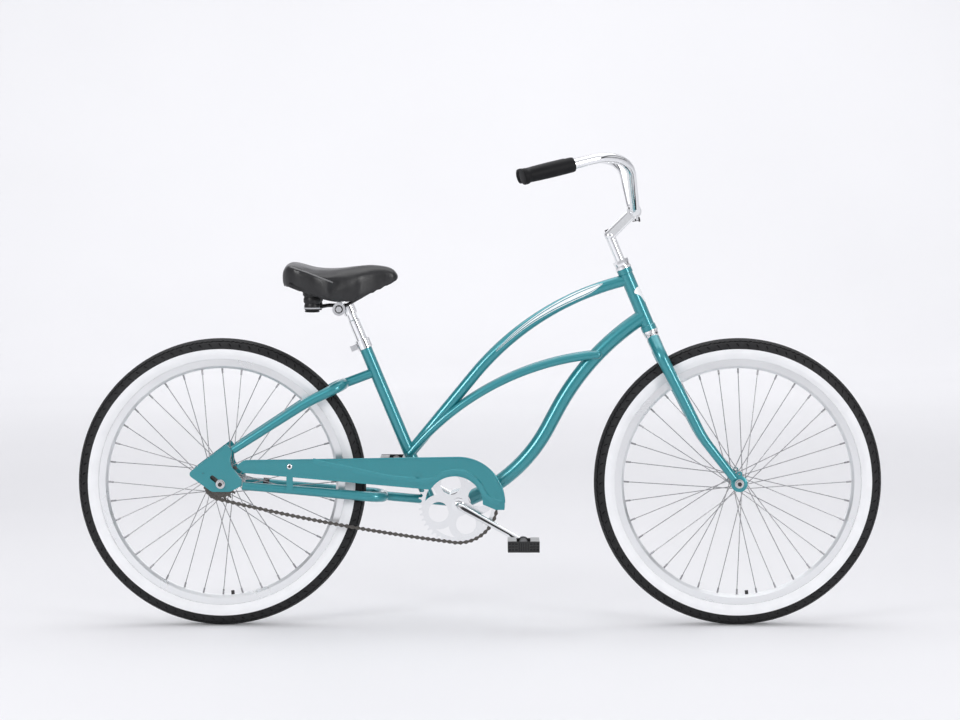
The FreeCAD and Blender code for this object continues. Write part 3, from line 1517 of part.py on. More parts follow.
def build_crank():
    """A one-piece crank: both arms and the spindle are one bent bar."""
    right_eye = crank_eye(1)
    left_eye = crank_eye(-1)
    ring_out = dim.chain_line + dim.sprocket_thickness / 2
    spindle_half = ring_out + dim.crank_shoulder_width
    spindle = cylinder("crank_spindle", dim.crank_tube_radius, 2 * spindle_half,
                       bracket - across(spindle_half), RIGHT)
    half_eye = dim.crank_eye_width / 2
    arms = []
    eyes = []
    holes = []
    for name, place, side in (("right", right_eye, 1), ("left", left_eye, -1)):
        run = [bracket + across(side * ring_out), bracket + across(side * dim.crank_arm_out), place]
        arms.append(tube(f"crank_{name}_arm", bent_path(run, [dim.crank_bend_radius]), dim.crank_arm_radius,
                         dim.crank_arm_end_radius))
        start = place - across(half_eye)
        eyes.append(cylinder(f"crank_{name}_eye", dim.crank_eye_radius, dim.crank_eye_width, start, RIGHT))
        holes.append(cylinder(f"crank_{name}_thread", dim.pedal_thread_radius,
                              dim.crank_eye_width + 2 * dim.overrun, start - across(dim.overrun), RIGHT))
    shoulder = cylinder("crank_shoulder", dim.crank_shoulder_radius, dim.crank_shoulder_width,
                        bracket + across(ring_out), RIGHT)
    pin_inner = dim.chain_line - dim.sprocket_thickness / 2
    pin = cylinder("crank_drive_pin", dim.drive_pin_radius, dim.crank_arm_out - pin_inner,
                   bracket + polar(dim.crank_angle, dim.drive_pin_circle) + across(pin_inner), RIGHT)
    blank = fuse("crank_blank", spindle, *arms, *eyes, shoulder, pin)
    return cut("crank", blank, *holes)


def build_crank_bearings():
    half = dim.shell_width / 2
    lip_end = half + dim.crank_cup_lip
    floor = half - dim.crank_cup_depth
    cup = turned("crank_cup", [
        (dim.crank_cup_bore, floor), (dim.shell_bore_radius, floor), (dim.shell_bore_radius, half),
        (dim.shell_radius, half), (dim.shell_radius, lip_end), (dim.crank_cup_bore, lip_end),
    ], bracket, RIGHT)
    both_sides("crank_cups", cup)
    start = half - dim.bearing_width
    bearing = sleeve("crank_bearing", dim.crank_cone_radius + dim.bearing_clearance, dim.crank_cup_bore,
                     start, half, bracket, RIGHT)
    both_sides("crank_bearings", bearing)
    bore = dim.crank_tube_radius
    ring_in = dim.chain_line - dim.sprocket_thickness / 2
    drive_cone = turned("crank_drive_cone", [
        (bore, start), (dim.crank_cone_radius, start), (dim.crank_cone_radius, lip_end),
        (dim.crank_locknut_radius, lip_end + dim.headset_gap), (dim.crank_locknut_radius, ring_in),
        (bore, ring_in),
    ], bracket, RIGHT)
    cone_end = lip_end + dim.crank_locknut_width
    far_cone = sleeve("crank_far_cone", bore, dim.crank_cone_radius, start, cone_end, bracket, LEFT)
    hexed = hexagon("crank_locknut_blank", dim.crank_locknut_radius, dim.crank_locknut_width,
                    bracket - across(cone_end), LEFT)
    spindle = cylinder("crank_spindle_core", bore, dim.shell_width, bracket - across(half), LEFT)
    locknut = cut("crank_locknut", hexed, spindle)
    group("crank_cones", drive_cone, far_cone, locknut)


def build_pedal(name, side):
    """A block pedal that turns on its spindle: two end plates, a barrel and two tread blocks."""
    facing = RIGHT * side
    eye = crank_eye(side)
    face = eye + facing * (float(dim.crank_eye_width) / 2)
    collar_end = dim.pedal_collar_width
    start = collar_end + dim.pedal_end_gap
    end = start + dim.pedal_width
    spindle_end = end - dim.pedal_plate / 2
    spindle = turned(f"pedal_{name}_spindle", [
        (0, -dim.crank_eye_width), (dim.pedal_thread_radius, -dim.crank_eye_width),
        (dim.pedal_thread_radius, 0), (dim.pedal_collar_radius, 0), (dim.pedal_collar_radius, collar_end),
        (dim.pedal_spindle_radius, collar_end), (dim.pedal_spindle_radius, spindle_end), (0, spindle_end),
    ], face, facing)
    barrel = cylinder(f"pedal_{name}_barrel", dim.pedal_barrel_radius, dim.pedal_width,
                      face + facing * float(start), facing)
    bore_length = spindle_end - start + dim.pedal_end_gap + dim.overrun
    bore = cylinder(f"pedal_{name}_bore", dim.pedal_spindle_radius + dim.pedal_spindle_gap, bore_length,
                    face + facing * float(start - dim.overrun), facing)
    plates = []
    half_length = float(dim.pedal_length) / 2
    half_height = float(dim.pedal_plate_height) / 2
    for number, place in enumerate((start, end - dim.pedal_plate), start=1):
        near = face + facing * float(place)
        corners = [near + Vector(x * half_length, 0, z * half_height)
                   for x, z in ((-1, -1), (1, -1), (1, 1), (-1, 1))]
        wire = outline([(corner, dim.pedal_corner_radius) for corner in corners], 0)
        plates.append(plate(f"pedal_{name}_plate_{number}", wire, dim.pedal_plate, facing))
    body = fuse(f"pedal_{name}_blank", barrel, *plates)
    cut(f"pedal_{name}", body, bore)
    treads = []
    tread_width = dim.pedal_width - 2 * dim.pedal_plate
    centre = face + facing * (float(start) + float(dim.pedal_width) / 2)
    shift = (dim.pedal_length - dim.tread_length) / 2
    for number, sign in enumerate((-1, 1), start=1):
        place = centre + Vector(sign * float(shift), 0, 0)
        solid = block(f"pedal_{name}_tread_{number}_blank", dim.tread_length, tread_width,
                      dim.pedal_height, place)
        grooves = []
        for line in range(int(dim.pedal_groove_count)):
            along = ((line + 1) / (dim.pedal_groove_count + 1) - 1 / 2) * tread_width
            for rise in (-1, 1):
                height = rise * float(dim.pedal_height - dim.tread_groove_depth) / 2
                spot = place + Vector(0, float(along), height)
                grooves.append(Part.makeBox(float(dim.tread_length), float(dim.tread_groove_width),
                                            float(dim.tread_groove_depth),
                                            spot - Vector(float(dim.tread_length) / 2,
                                                          float(dim.tread_groove_width) / 2,
                                                          float(dim.tread_groove_depth) / 2)))
        tools = shaped(f"pedal_{name}_tread_{number}_grooves", Part.makeCompound(grooves))
        treads.append(cut(f"pedal_{name}_tread_{number}", solid, tools))
    group(f"pedal_{name}_treads", *treads)
    return spindle


# Seat post and saddle

def saddle_pivot():
    head = seat_top + seat_up * float(dim.seat_post_showing - dim.saddle_band_height / 2)
    return head - Vector(float(dim.saddle_pivot_back), 0, 0)


def build_seat_post():
    top = seat_top + seat_up * float(dim.seat_post_showing)
    base = top - seat_up * float(dim.seat_post_length)
    shoulder = dim.seat_post_length - dim.seat_post_neck_length
    corners = [
        (0, 0), (dim.seat_post_radius, 0), (dim.seat_post_radius, shoulder),
        (dim.seat_post_neck_radius, shoulder + (dim.seat_post_radius - dim.seat_post_neck_radius)),
        (dim.seat_post_neck_radius, dim.seat_post_length), (0, dim.seat_post_length),
    ]
    return turned("seat_post", corners, base, seat_up)


def build_saddle_clamp():
    """The band round the post's neck, with the cross bolt behind it and a nut at each end."""
    pivot = saddle_pivot()
    band_base = seat_top + seat_up * float(dim.seat_post_showing - dim.saddle_band_height)
    outer = dim.seat_post_neck_radius + dim.saddle_band_wall
    band = sleeve("saddle_band", dim.seat_post_neck_radius, outer, 0, dim.saddle_band_height,
                  band_base, seat_up)
    half = dim.saddle_block_width / 2
    lug = cylinder("saddle_lug", dim.saddle_block_radius, dim.saddle_block_width, pivot - across(half), RIGHT)
    neck = cylinder("saddle_neck_core", dim.seat_post_neck_radius, dim.saddle_band_height + 2 * dim.overrun,
                    band_base - seat_up * float(dim.overrun), seat_up)
    reach = half + dim.saddle_jaw_gap + dim.saddle_jaw_width + dim.saddle_jaw_gap
    bolt_half = reach + dim.saddle_nut_height
    shank = cylinder("saddle_bolt_shank", dim.saddle_bolt_radius, 2 * bolt_half,
                     pivot - across(bolt_half), RIGHT)
    nut = hexagon("saddle_nut", dim.saddle_nut_radius, dim.saddle_nut_height, pivot + across(reach), RIGHT)
    bolt = fuse("saddle_bolt", shank, nut, mirrored("saddle_nut_left", nut))
    clamp = cut("saddle_clamp_body", fuse("saddle_clamp_blank", band, lug), neck, shank)
    group("saddle_clamp", clamp, bolt)


def rail_points():
    pivot = saddle_pivot()
    places = [
        (-dim.rail_tail_back, dim.rail_tail_rise, dim.rail_tail_spread),
        (-dim.rail_rear, dim.rail_rise, dim.rail_spread),
        (dim.rail_front, dim.rail_rise, dim.rail_spread),
        (dim.rail_nose_forward, dim.rail_nose_rise, dim.rail_nose_spread),
    ]
    return [pivot + Vector(float(x), 0, float(z)) + across(out) for x, z, out in places]


def build_saddle_rails():
    pivot = saddle_pivot()
    rail = tube("saddle_rail", bent_path(rail_points(), [dim.rail_bend, dim.rail_bend]), dim.rail_radius)
    both_sides("saddle_rails", rail)
    start = dim.saddle_block_width / 2 + dim.saddle_jaw_gap
    blank = cylinder("saddle_jaw_blank", dim.saddle_jaw_radius, dim.saddle_jaw_width,
                     pivot + across(start), RIGHT)
    hole = cylinder("saddle_jaw_hole", dim.saddle_bolt_radius + dim.saddle_jaw_gap,
                    dim.saddle_jaw_width + 2 * dim.overrun, pivot + across(start - dim.overrun), RIGHT)
    jaw = cut("saddle_jaw", blank, rail, hole)
    both_sides("saddle_clamp_jaws", jaw)


def saddle_place(share):
    pivot = saddle_pivot()
    tail = pivot.x - float(dim.saddle_rear_back)
    return Vector(tail + share * float(dim.saddle_length), 0, pivot.z + float(dim.saddle_low_rise))


def saddle_section(station, inset, drop, rise):
    """One cross-section: a crowned top, full sides and a flat belly, from lines and short arcs."""
    share, width_share, crown_share, edge_share, belly_share = station
    base = saddle_place(share)
    width = max(float(dim.saddle_half_width) * width_share - inset, inset)
    height = float(dim.saddle_height)
    crown = base.z + height * crown_share
    edge = base.z + height * edge_share
    belly = base.z + height * belly_share
    if rise:
        crown = min(belly + rise, crown - inset)
        edge = (belly + crown) / 2
    belly -= drop

    def at(out, level):
        return Vector(base.x, out, level)

    top_out = width * SADDLE_CROWN_WIDTH_SHARE
    low_out = width * SADDLE_BELLY_WIDTH_SHARE
    top_level = crown - (crown - edge) * SADDLE_CROWN_FALL_SHARE
    side_level = (edge + belly) / 2
    left_top, right_top = at(top_out, top_level), at(-top_out, top_level)
    left_edge, right_edge = at(width, edge), at(-width, edge)
    left_low, right_low = at(low_out, belly), at(-low_out, belly)
    bulge = (width + low_out) / 2 + (width - low_out) * SADDLE_SIDE_BULGE_SHARE
    round_out = (top_out + width) / 2 + (width - top_out) * SADDLE_EDGE_ROUND_SHARE
    round_level = (top_level + edge) / 2 + (top_level - edge) * SADDLE_EDGE_ROUND_SHARE
    edges = [
        Part.Arc(right_top, at(0, crown), left_top).toShape(),
        Part.Arc(left_top, at(round_out, round_level), left_edge).toShape(),
        Part.Arc(left_edge, at(bulge, side_level), left_low).toShape(),
        straight(left_low, right_low),
        Part.Arc(right_low, at(-bulge, side_level), right_edge).toShape(),
        Part.Arc(right_edge, at(-round_out, round_level), right_top).toShape(),
    ]
    return Part.Wire(edges)


def saddle_loft(label, inset=0, drop=0, rise=0, stations=SADDLE_STATION_SHARES):
    loft = add("Part::Loft", label)
    loft.Sections = [shaped(f"{label}_section_{number}", saddle_section(station, inset, drop, rise))
                     for number, station in enumerate(stations, start=1)]
    loft.Solid = True
    loft.Ruled = False
    return loft


def build_saddle():
    """A padded cover over a moulded pan, with a rubber bumper under each side of the tail."""
    wall = float(dim.saddle_wall)
    inner = SADDLE_STATION_SHARES[1:-1]
    whole = saddle_loft("saddle_whole")
    pan_room = saddle_loft("saddle_pan_room", wall, float(dim.overrun), float(dim.saddle_pan_rise), inner)
    pan_hollow = saddle_loft("saddle_pan_hollow", wall + float(dim.saddle_pan), 2 * float(dim.overrun),
                             float(dim.saddle_pan_rise - dim.saddle_pan), inner)
    cover = cut("saddle_cover", whole, pan_room)
    pan = cut("saddle_base", common("saddle_pan_blank", whole, pan_room), pan_hollow)
    tail = rail_points()[0]
    foot = Vector(tail.x, 0, tail.z - float(dim.rail_radius) - float(dim.bumper_cap))
    height = dim.bumper_height
    fold = height / (dim.bumper_fold_count + 1)
    profile = [
        (0, 0), (dim.bumper_foot_radius, 0), (dim.bumper_foot_radius, dim.bumper_cap),
        (dim.bumper_waist_radius, dim.bumper_cap),
    ]
    for number in range(1, int(dim.bumper_fold_count) + 1):
        rise = number * fold
        profile += [(dim.bumper_waist_radius, rise), (dim.bumper_radius, rise + dim.bumper_cap)]
    profile += [(dim.bumper_radius, height), (0, height)]
    bellows = turned("saddle_bumper_blank", profile, foot + across(dim.bumper_spread), UP)
    rails = doc.getObjectsByLabel("saddle_rail")[0]
    bumper = cut("saddle_bumper", bellows, rails, cover, pan)
    both_sides("saddle_bumpers", bumper)


# Fork, headset, stem and handlebar

def build_steerer():
    """The steerer with its crown, and the lower race seated on the crown."""
    seat = crown_seat
    top_gap = dim.headset_gap
    top = (head_tube_rise + dim.head_tube_length + dim.headset_cup_height + dim.headset_ball_height
           + 2 * top_gap + dim.headset_top_race_height + dim.headset_locknut_height)
    low = seat - dim.crown_height
    race_top = seat + dim.crown_race_height
    corners = [
        (dim.steerer_bore, low), (dim.crown_radius, low), (dim.crown_radius, seat),
        (dim.headset_race_radius, seat), (dim.headset_ring_radius, race_top), (dim.steerer_radius, race_top),
        (dim.steerer_radius, top), (dim.steerer_bore, top),
    ]
    turned("steerer", corners, steer_foot, steer_up)


def build_headset():
    low = head_tube_rise
    high = low + dim.head_tube_length
    skirt = dim.headset_cup_skirt
    cup = dim.headset_cup_height
    lower_cup = turned("headset_lower_cup", [
        (dim.headset_cup_bore, low - cup), (dim.headset_cup_radius, low - cup), (dim.headset_cup_radius, low),
        (dim.head_tube_bore, low), (dim.head_tube_bore, low + skirt), (dim.headset_cup_bore, low + skirt),
    ], steer_foot, steer_up)
    upper_cup = turned("headset_upper_cup", [
        (dim.headset_cup_bore, high - skirt), (dim.head_tube_bore, high - skirt), (dim.head_tube_bore, high),
        (dim.headset_cup_radius, high), (dim.headset_cup_radius, high + cup),
        (dim.headset_cup_bore, high + cup),
    ], steer_foot, steer_up)
    group("headset_cups", lower_cup, upper_cup)
    lower_balls = sleeve("headset_lower_balls", dim.headset_cup_bore, dim.headset_ring_radius,
                         lower_ball_foot, low - cup, steer_foot, steer_up)
    upper_low = high + cup
    upper_high = upper_low + dim.headset_ball_height
    upper_balls = sleeve("headset_upper_balls", dim.headset_cup_bore, dim.headset_ring_radius, upper_low,
                         upper_high, steer_foot, steer_up)
    group("headset_bearings", lower_balls, upper_balls)
    race_low = upper_high + dim.headset_gap
    race_high = race_low + dim.headset_top_race_height
    top_race = turned("headset_top_race_piece", [
        (dim.steerer_radius, race_low), (dim.headset_ring_radius, race_low),
        (dim.headset_locknut_radius, race_high), (dim.steerer_radius, race_high),
    ], steer_foot, steer_up)
    hexed = hexagon("headset_locknut_blank", dim.headset_locknut_radius, dim.headset_locknut_height,
                    steer(race_high), steer_up)
    steerer_core = cylinder("headset_locknut_core", dim.steerer_radius,
                            dim.headset_locknut_height + dim.overrun, steer(race_high), steer_up)
    locknut = cut("headset_locknut_piece", hexed, steerer_core)
    group("headset_nuts", top_race, locknut)


def build_fork():
    """Two tapered blades that grow out of the crown and sweep forward to the axle."""
    seat = crown_seat
    points = [
        steer(seat - dim.blade_start_drop, 0, dim.blade_start_spread),
        steer(seat - dim.blade_shoulder_drop, 0, dim.blade_spread),
        steer(dim.blade_knee_height, dim.blade_knee_forward, (dim.blade_spread + dim.blade_end_spread) / 2),
        steer(dim.blade_end_height, dim.blade_end_forward, dim.blade_end_spread),
    ]
    wire = bent_path(points, [dim.blade_shoulder_bend, dim.blade_knee_bend])
    blank = tube("fork_blade_blank", wire, dim.blade_top_radius, dim.blade_end_radius)
    crown = cylinder("fork_crown_core", dim.crown_radius, dim.crown_height + dim.overrun,
                     steer(seat - dim.crown_height), steer_up)
    middle = block("fork_divider", dim.wheelbase, dim.wheelbase, dim.wheelbase,
                   front_axle + LEFT * (float(dim.wheelbase) / 2))
    fork_end, slot = build_fork_end(points)
    blade = cut("fork_blade_right", blank, crown, middle, slot)
    both_sides("fork_blades", blade)
    both_sides("fork_ends", fork_end)


def build_fork_end(blade_points):
    """A flat end with the axle's hole and an eyelet above it, and the slot in the blade that takes it."""
    inner = dim.front_fork_gap / 2
    start = across(inner)
    disc = cylinder("fork_end_disc", dim.fork_end_radius, dim.fork_end_thickness, front_axle + start, RIGHT)
    toward = blade_points[2] - front_axle
    flat = Vector(toward.x, 0, toward.z).normalize()
    tilt = math.degrees(math.atan2(flat.z, flat.x))
    tab_out = across(inner + dim.fork_end_thickness / 2)
    tab_centre = front_axle + flat * (float(dim.fork_end_tab) / 2) + tab_out
    turn = Rotation(LEFT, -tilt)
    tab = block("fork_end_tab_plate", dim.fork_end_tab, dim.fork_end_thickness, dim.fork_end_tab_width,
                tab_centre, turn)
    slot_length = dim.fork_end_tab + dim.fork_end_radius + dim.overrun
    slot_centre = tab_centre - flat * float((slot_length - dim.fork_end_tab) / 2)
    slot = block("fork_end_slot", slot_length, dim.fork_end_thickness,
                 2 * (dim.blade_top_radius + dim.overrun), slot_centre, turn)
    eyelet_place = front_axle + Vector(0, 0, float(dim.front_eyelet_rise)) + start
    eyelet = cylinder("fork_end_eyelet", dim.eyelet_radius, dim.fork_end_thickness, eyelet_place, RIGHT)
    blank = fuse("fork_end_blank", disc, tab, eyelet)
    through = dim.fork_end_thickness + 2 * dim.overrun
    back = across(dim.overrun)
    axle_hole = cylinder("fork_end_axle_hole", dim.axle_radius, through, front_axle + start - back, RIGHT)
    eyelet_hole = cylinder("fork_end_eyelet_hole", dim.eyelet_hole_radius, through,
                           eyelet_place - back, RIGHT)
    return cut("fork_end_right", blank, axle_hole, eyelet_hole), slot


def steerer_top():
    return (head_tube_rise + dim.head_tube_length + dim.headset_cup_height + dim.headset_ball_height
            + 2 * dim.headset_gap + dim.headset_top_race_height + dim.headset_locknut_height)


def bar_centre():
    return steer(steerer_top() + dim.quill_rise) + polar(dim.stem_angle, dim.stem_reach)


def build_stem():
    """A quill stem: a round riser, a forged arm and a split clamp with its bolt below the bar."""
    elbow = steer(steerer_top() + dim.quill_rise)
    clamp = bar_centre()
    arm_dir = polar(dim.stem_angle, 1)
    ear_dir = polar(dim.stem_ear_angle, 1)
    bolt_dir = polar(dim.stem_ear_angle + RIGHT_ANGLE, 1)
    quill_start = steer(steerer_top() - dim.quill_depth)
    quill = cylinder("stem_quill", dim.quill_radius, dim.quill_depth + dim.quill_rise, quill_start, steer_up)
    knuckle = ball("stem_knuckle", dim.stem_arm_height / 2, elbow)
    arm_blank = block("stem_arm_blank", dim.stem_reach, dim.stem_arm_width, dim.stem_arm_height,
                      elbow + arm_dir * (float(dim.stem_reach) / 2), Rotation(LEFT, -float(dim.stem_angle)))
    arm = add("Part::Fillet", "stem_arm")
    arm.Base = arm_blank
    doc.recompute()
    long_edges = [number for number, edge in enumerate(arm_blank.Shape.Edges, start=1)
                  if abs(abs(edge.tangentAt(edge.FirstParameter).dot(arm_dir)) - 1) < SAME_PLACE]
    arm.Edges = [(number, float(dim.stem_arm_round), float(dim.stem_arm_round)) for number in long_edges]
    half = dim.stem_clamp_width / 2
    clamp_radius = dim.bar_radius + dim.stem_clamp_wall
    barrel = cylinder("stem_barrel", clamp_radius, dim.stem_clamp_width, clamp - across(half), RIGHT)
    ear_centre = clamp + ear_dir * float(clamp_radius + dim.stem_ear_length / 2 - dim.stem_clamp_wall)
    turn = Rotation(LEFT, -float(dim.stem_ear_angle + RIGHT_ANGLE))
    ears = block("stem_ears", dim.stem_ear_thickness, dim.stem_ear_width,
                 dim.stem_ear_length + dim.stem_clamp_wall, ear_centre, turn)
    slot_reach = clamp_radius + dim.stem_ear_length + dim.overrun
    slot = block("stem_slot", dim.stem_slot, dim.stem_clamp_width + dim.overrun, slot_reach,
                 clamp + ear_dir * (float(slot_reach) / 2), turn)
    bore = cylinder("stem_bar_bore", dim.bar_radius + dim.bar_clamp_gap, dim.stem_clamp_width + dim.overrun,
                    clamp - across(half + dim.overrun / 2), RIGHT)
    bolt_centre = clamp + ear_dir * float(clamp_radius + dim.stem_ear_length / 2)
    half_ear = dim.stem_ear_thickness / 2
    shank = cylinder("stem_clamp_shank", dim.bolt_radius, dim.stem_ear_thickness,
                     bolt_centre - bolt_dir * float(half_ear), bolt_dir)
    head = hexagon("stem_clamp_head", dim.bolt_head_radius, dim.bolt_head_height,
                   bolt_centre + bolt_dir * float(half_ear), bolt_dir)
    clamp_bolt = fuse("stem_clamp_bolt", shank, head)
    top = elbow + steer_up * float((dim.stem_arm_height - dim.expander_head_height) / 2)
    wedge_low = dim.quill_depth + dim.quill_rise + dim.wedge_height
    expander_length = wedge_low + (dim.stem_arm_height - dim.expander_head_height) / 2
    expander = cylinder("stem_expander_shank", dim.expander_radius, expander_length, top, -steer_up)
    expander_head = hexagon("stem_expander_head", dim.expander_head_radius, dim.expander_head_height,
                            top, steer_up)
    expander_bolt = fuse("stem_expander_bolt", expander, expander_head)
    wedge_blank = cylinder("stem_wedge_blank", dim.quill_radius, dim.wedge_height, quill_start, -steer_up)
    wedge = cut("stem_wedge", wedge_blank, expander)
    blank = fuse("stem_blank", quill, knuckle, arm, barrel, ears)
    cut("stem", blank, bore, slot, shank, head, expander, expander_head)
    group("stem_bolts", clamp_bolt, expander_bolt, wedge)


def bar_points():
    centre = bar_centre()
    reach = Vector(-float(dim.bar_shoulder_back), 0, float(dim.bar_rise))
    shoulder = centre + across(dim.bar_shoulder) + reach
    end = Vector(shoulder.x - float(dim.bar_sweep), -float(dim.bar_half_width),
                 shoulder.z - float(dim.bar_end_drop))
    return [centre + across(dim.bar_straight), shoulder, end]


def build_handlebar():
    """A cruiser bar: up from the stem, over a wide bend, and back to the grips."""
    right = bar_points()
    left = [Vector(place.x, -place.y, place.z) for place in right]
    points = right[::-1] + left
    bends = [dim.bar_high_bend, dim.bar_low_bend, dim.bar_low_bend, dim.bar_high_bend]
    return tube("handlebar", bent_path(points, bends), dim.bar_radius)


def build_grips():
    end = bar_points()[-1]
    inward = (bar_points()[1] - end).normalize()
    neck = 2 * dim.grip_flange_width
    grip = turned("grip_right", [
        (0, -dim.grip_cap), (dim.grip_end_radius, -dim.grip_cap),
        (dim.grip_end_radius, dim.grip_flange_width),
        (dim.grip_neck_radius, neck), (dim.grip_radius, dim.grip_length / 2),
        (dim.grip_radius, dim.grip_length), (dim.bar_radius, dim.grip_length), (dim.bar_radius, 0), (0, 0),
    ], end, inward)
    both_sides("grips", grip)


# Assembly

def build():
    build_head_tube()
    seat_core, shell_core, yoke_core = build_main_tubes()
    dropout = build_dropouts()
    chain_stay_blank = build_stays(dropout, seat_core, shell_core, yoke_core)
    build_chain_guard(chain_stay_blank, seat_core)
    build_seat_clamp(seat_core)
    for name, axle in (("front", front_axle), ("rear", rear_axle)):
        build_rim(f"{name}_rim", axle)
        build_tyre(f"{name}_tyre", axle)
        build_inner_tube(f"{name}_inner_tube", axle)
    build_front_hub()
    build_rear_hub()
    build_spokes("front_spokes", front_axle, dim.front_spoke_circle, dim.front_flange_spread)
    build_spokes("rear_spokes", rear_axle, dim.rear_spoke_circle, dim.rear_flange_spread)
    build_front_axle_set()
    build_rear_axle_set()
    build_brake_arm(chain_stay_blank)
    build_sprocket()
    build_chainring()
    build_chain()
    build_crank()
    build_crank_bearings()
    group("pedal_spindles", build_pedal("right", 1), build_pedal("left", -1))
    build_seat_post()
    build_saddle_clamp()
    build_saddle_rails()
    build_saddle()
    build_steerer()
    build_fork()
    build_headset()
    build_stem()
    build_handlebar()
    build_grips()


NODES = [
    "head_tube", "top_tube", "mid_tubes", "down_tube", "seat_tube", "bottom_bracket_shell", "stay_yokes",
    "chain_stays", "seat_stays", "rear_dropouts", "chain_guard", "chain_guard_brackets",
    "seat_clamp", "headset_cups", "headset_bearings", "crank_cups", "crank_bearings", "rear_axle",
    "rear_axle_hardware", "rear_hub_bearings", "brake_arm", "brake_arm_clip", "chain",
    "seat_post", "saddle_clamp", "saddle_rails", "saddle_clamp_jaws", "saddle_base", "saddle_cover",
    "saddle_bumpers", "steerer", "fork_blades", "fork_ends", "headset_nuts", "front_axle",
    "front_axle_hardware", "front_hub_bearings", "stem", "stem_bolts", "handlebar", "grips",
    "front_hub", "front_spokes", "front_rim", "front_tyre", "front_inner_tube",
    "rear_hub", "rear_spokes", "rear_rim", "rear_tyre", "rear_inner_tube", "rear_sprocket",
    "crank", "chainring", "crank_cones", "pedal_spindles", "pedal_right", "pedal_right_treads",
    "pedal_left", "pedal_left_treads",
]


def check_and_export():
    """Stop on any failed object or bad shape, then write one file for each node."""
    for thing in doc.Objects:
        if "Invalid" in thing.State or "Error" in thing.State:
            raise RuntimeError(f"{thing.Label} did not compute: {thing.State}")
    pieces = {label: doc.getObjectsByLabel(label)[0] for label in NODES}
    for label, piece in pieces.items():
        if piece.Shape.isNull() or not piece.Shape.isValid() or not piece.Shape.Solids:
            raise RuntimeError(f"{label} has no sound shape")
    os.makedirs("parts", exist_ok=True)
    for label, piece in pieces.items():
        piece.Shape.exportStep(f"parts/{label}.step")


build()
doc.recompute()
check_and_export()
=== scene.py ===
"""Dressed visual model of a beach cruiser bicycle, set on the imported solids."""

import json
import math

import bmesh
import bpy
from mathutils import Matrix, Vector
from mathutils.bvhtree import BVHTree


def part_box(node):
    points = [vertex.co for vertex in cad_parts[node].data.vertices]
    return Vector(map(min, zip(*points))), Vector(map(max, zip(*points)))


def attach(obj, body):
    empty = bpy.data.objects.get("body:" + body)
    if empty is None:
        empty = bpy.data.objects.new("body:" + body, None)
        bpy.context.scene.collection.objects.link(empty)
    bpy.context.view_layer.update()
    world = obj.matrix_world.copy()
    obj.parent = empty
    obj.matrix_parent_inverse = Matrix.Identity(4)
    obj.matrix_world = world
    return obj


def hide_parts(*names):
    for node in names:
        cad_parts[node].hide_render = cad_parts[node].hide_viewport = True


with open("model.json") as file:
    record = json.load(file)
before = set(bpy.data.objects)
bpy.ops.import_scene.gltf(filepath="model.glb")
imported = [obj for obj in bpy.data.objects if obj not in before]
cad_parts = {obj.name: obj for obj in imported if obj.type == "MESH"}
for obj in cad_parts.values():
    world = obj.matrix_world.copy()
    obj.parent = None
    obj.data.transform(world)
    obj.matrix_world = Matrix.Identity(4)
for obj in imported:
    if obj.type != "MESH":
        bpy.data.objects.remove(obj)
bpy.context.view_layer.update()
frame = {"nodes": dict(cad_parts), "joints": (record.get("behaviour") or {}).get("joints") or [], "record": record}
solids = frame["nodes"]
joint_places = {joint["name"]: Vector(joint["pos_m"]) for joint in frame["joints"] if "pos_m" in joint}
joint_axes = {joint["name"]: Vector(joint["axis"]).normalized() for joint in frame["joints"]}

MM = 0.001
SIDES = {"right": -1, "left": 1}
ACROSS = Vector((0, 1, 0))
UPRIGHT = Vector((0, 0, 1))


# Shapes shared by several pieces

# Edges that bend by more degrees than this stay sharp, on most pieces and on soft or thin round ones.
SHARP_ANGLE = 38
SOFT_SHARP_ANGLE = 60
LATHE_SIDES = 48
ROD_SIDES = 10
# A heading with more than this across the bicycle counts as crosswise.
CROSSWISE_SHARE = 0.9
# The six faces of a block, by the numbers of its corners.
BLOCK_FACES = ((0, 1, 3, 2), (4, 6, 7, 5), (0, 4, 5, 1), (2, 3, 7, 6), (0, 2, 6, 4), (1, 5, 7, 3))
# Points of one flat end lie this close to each other across the bicycle.
FLATNESS = 0.05 * MM


def mesh_object(name, points, faces, *materials):
    """A mesh piece with its faces turned outwards."""
    mesh = bpy.data.meshes.new(name)
    mesh.from_pydata(points, [], faces)
    for material in materials:
        mesh.materials.append(material)
    form = bmesh.new()
    form.from_mesh(mesh)
    bmesh.ops.recalc_face_normals(form, faces=form.faces)
    form.to_mesh(mesh)
    form.free()
    piece = bpy.data.objects.new(name, mesh)
    bpy.context.scene.collection.objects.link(piece)
    return piece


def smooth(piece, sharp_angle=SHARP_ANGLE):
    """Round shading that keeps edges sharper than the given angle in degrees."""
    mesh = piece.data
    mesh.polygons.foreach_set("use_smooth", [True] * len(mesh.polygons))
    mesh.set_sharp_from_angle(angle=math.radians(sharp_angle))
    return piece


def skin(rings, loop=False):
    """Points and faces of a closed skin through rings of equal count; an open row's ends are capped."""
    count = len(rings[0])
    points = [point for ring in rings for point in ring]
    faces = []
    for here in range(len(rings) if loop else len(rings) - 1):
        there = (here + 1) % len(rings)
        for step in range(count):
            following = (step + 1) % count
            faces.append((here * count + step, here * count + following,
                          there * count + following, there * count + step))
    if not loop:
        faces.append(tuple(range(count)))
        faces.append(tuple(range((len(rings) - 1) * count, len(rings) * count)))
    return points, faces


def joined(shapes):
    """Several closed skins as the points and faces of one mesh."""
    points, faces = [], []
    for shape_points, shape_faces in shapes:
        start = len(points)
        points += shape_points
        faces += [tuple(start + corner for corner in face) for face in shape_faces]
    return points, faces


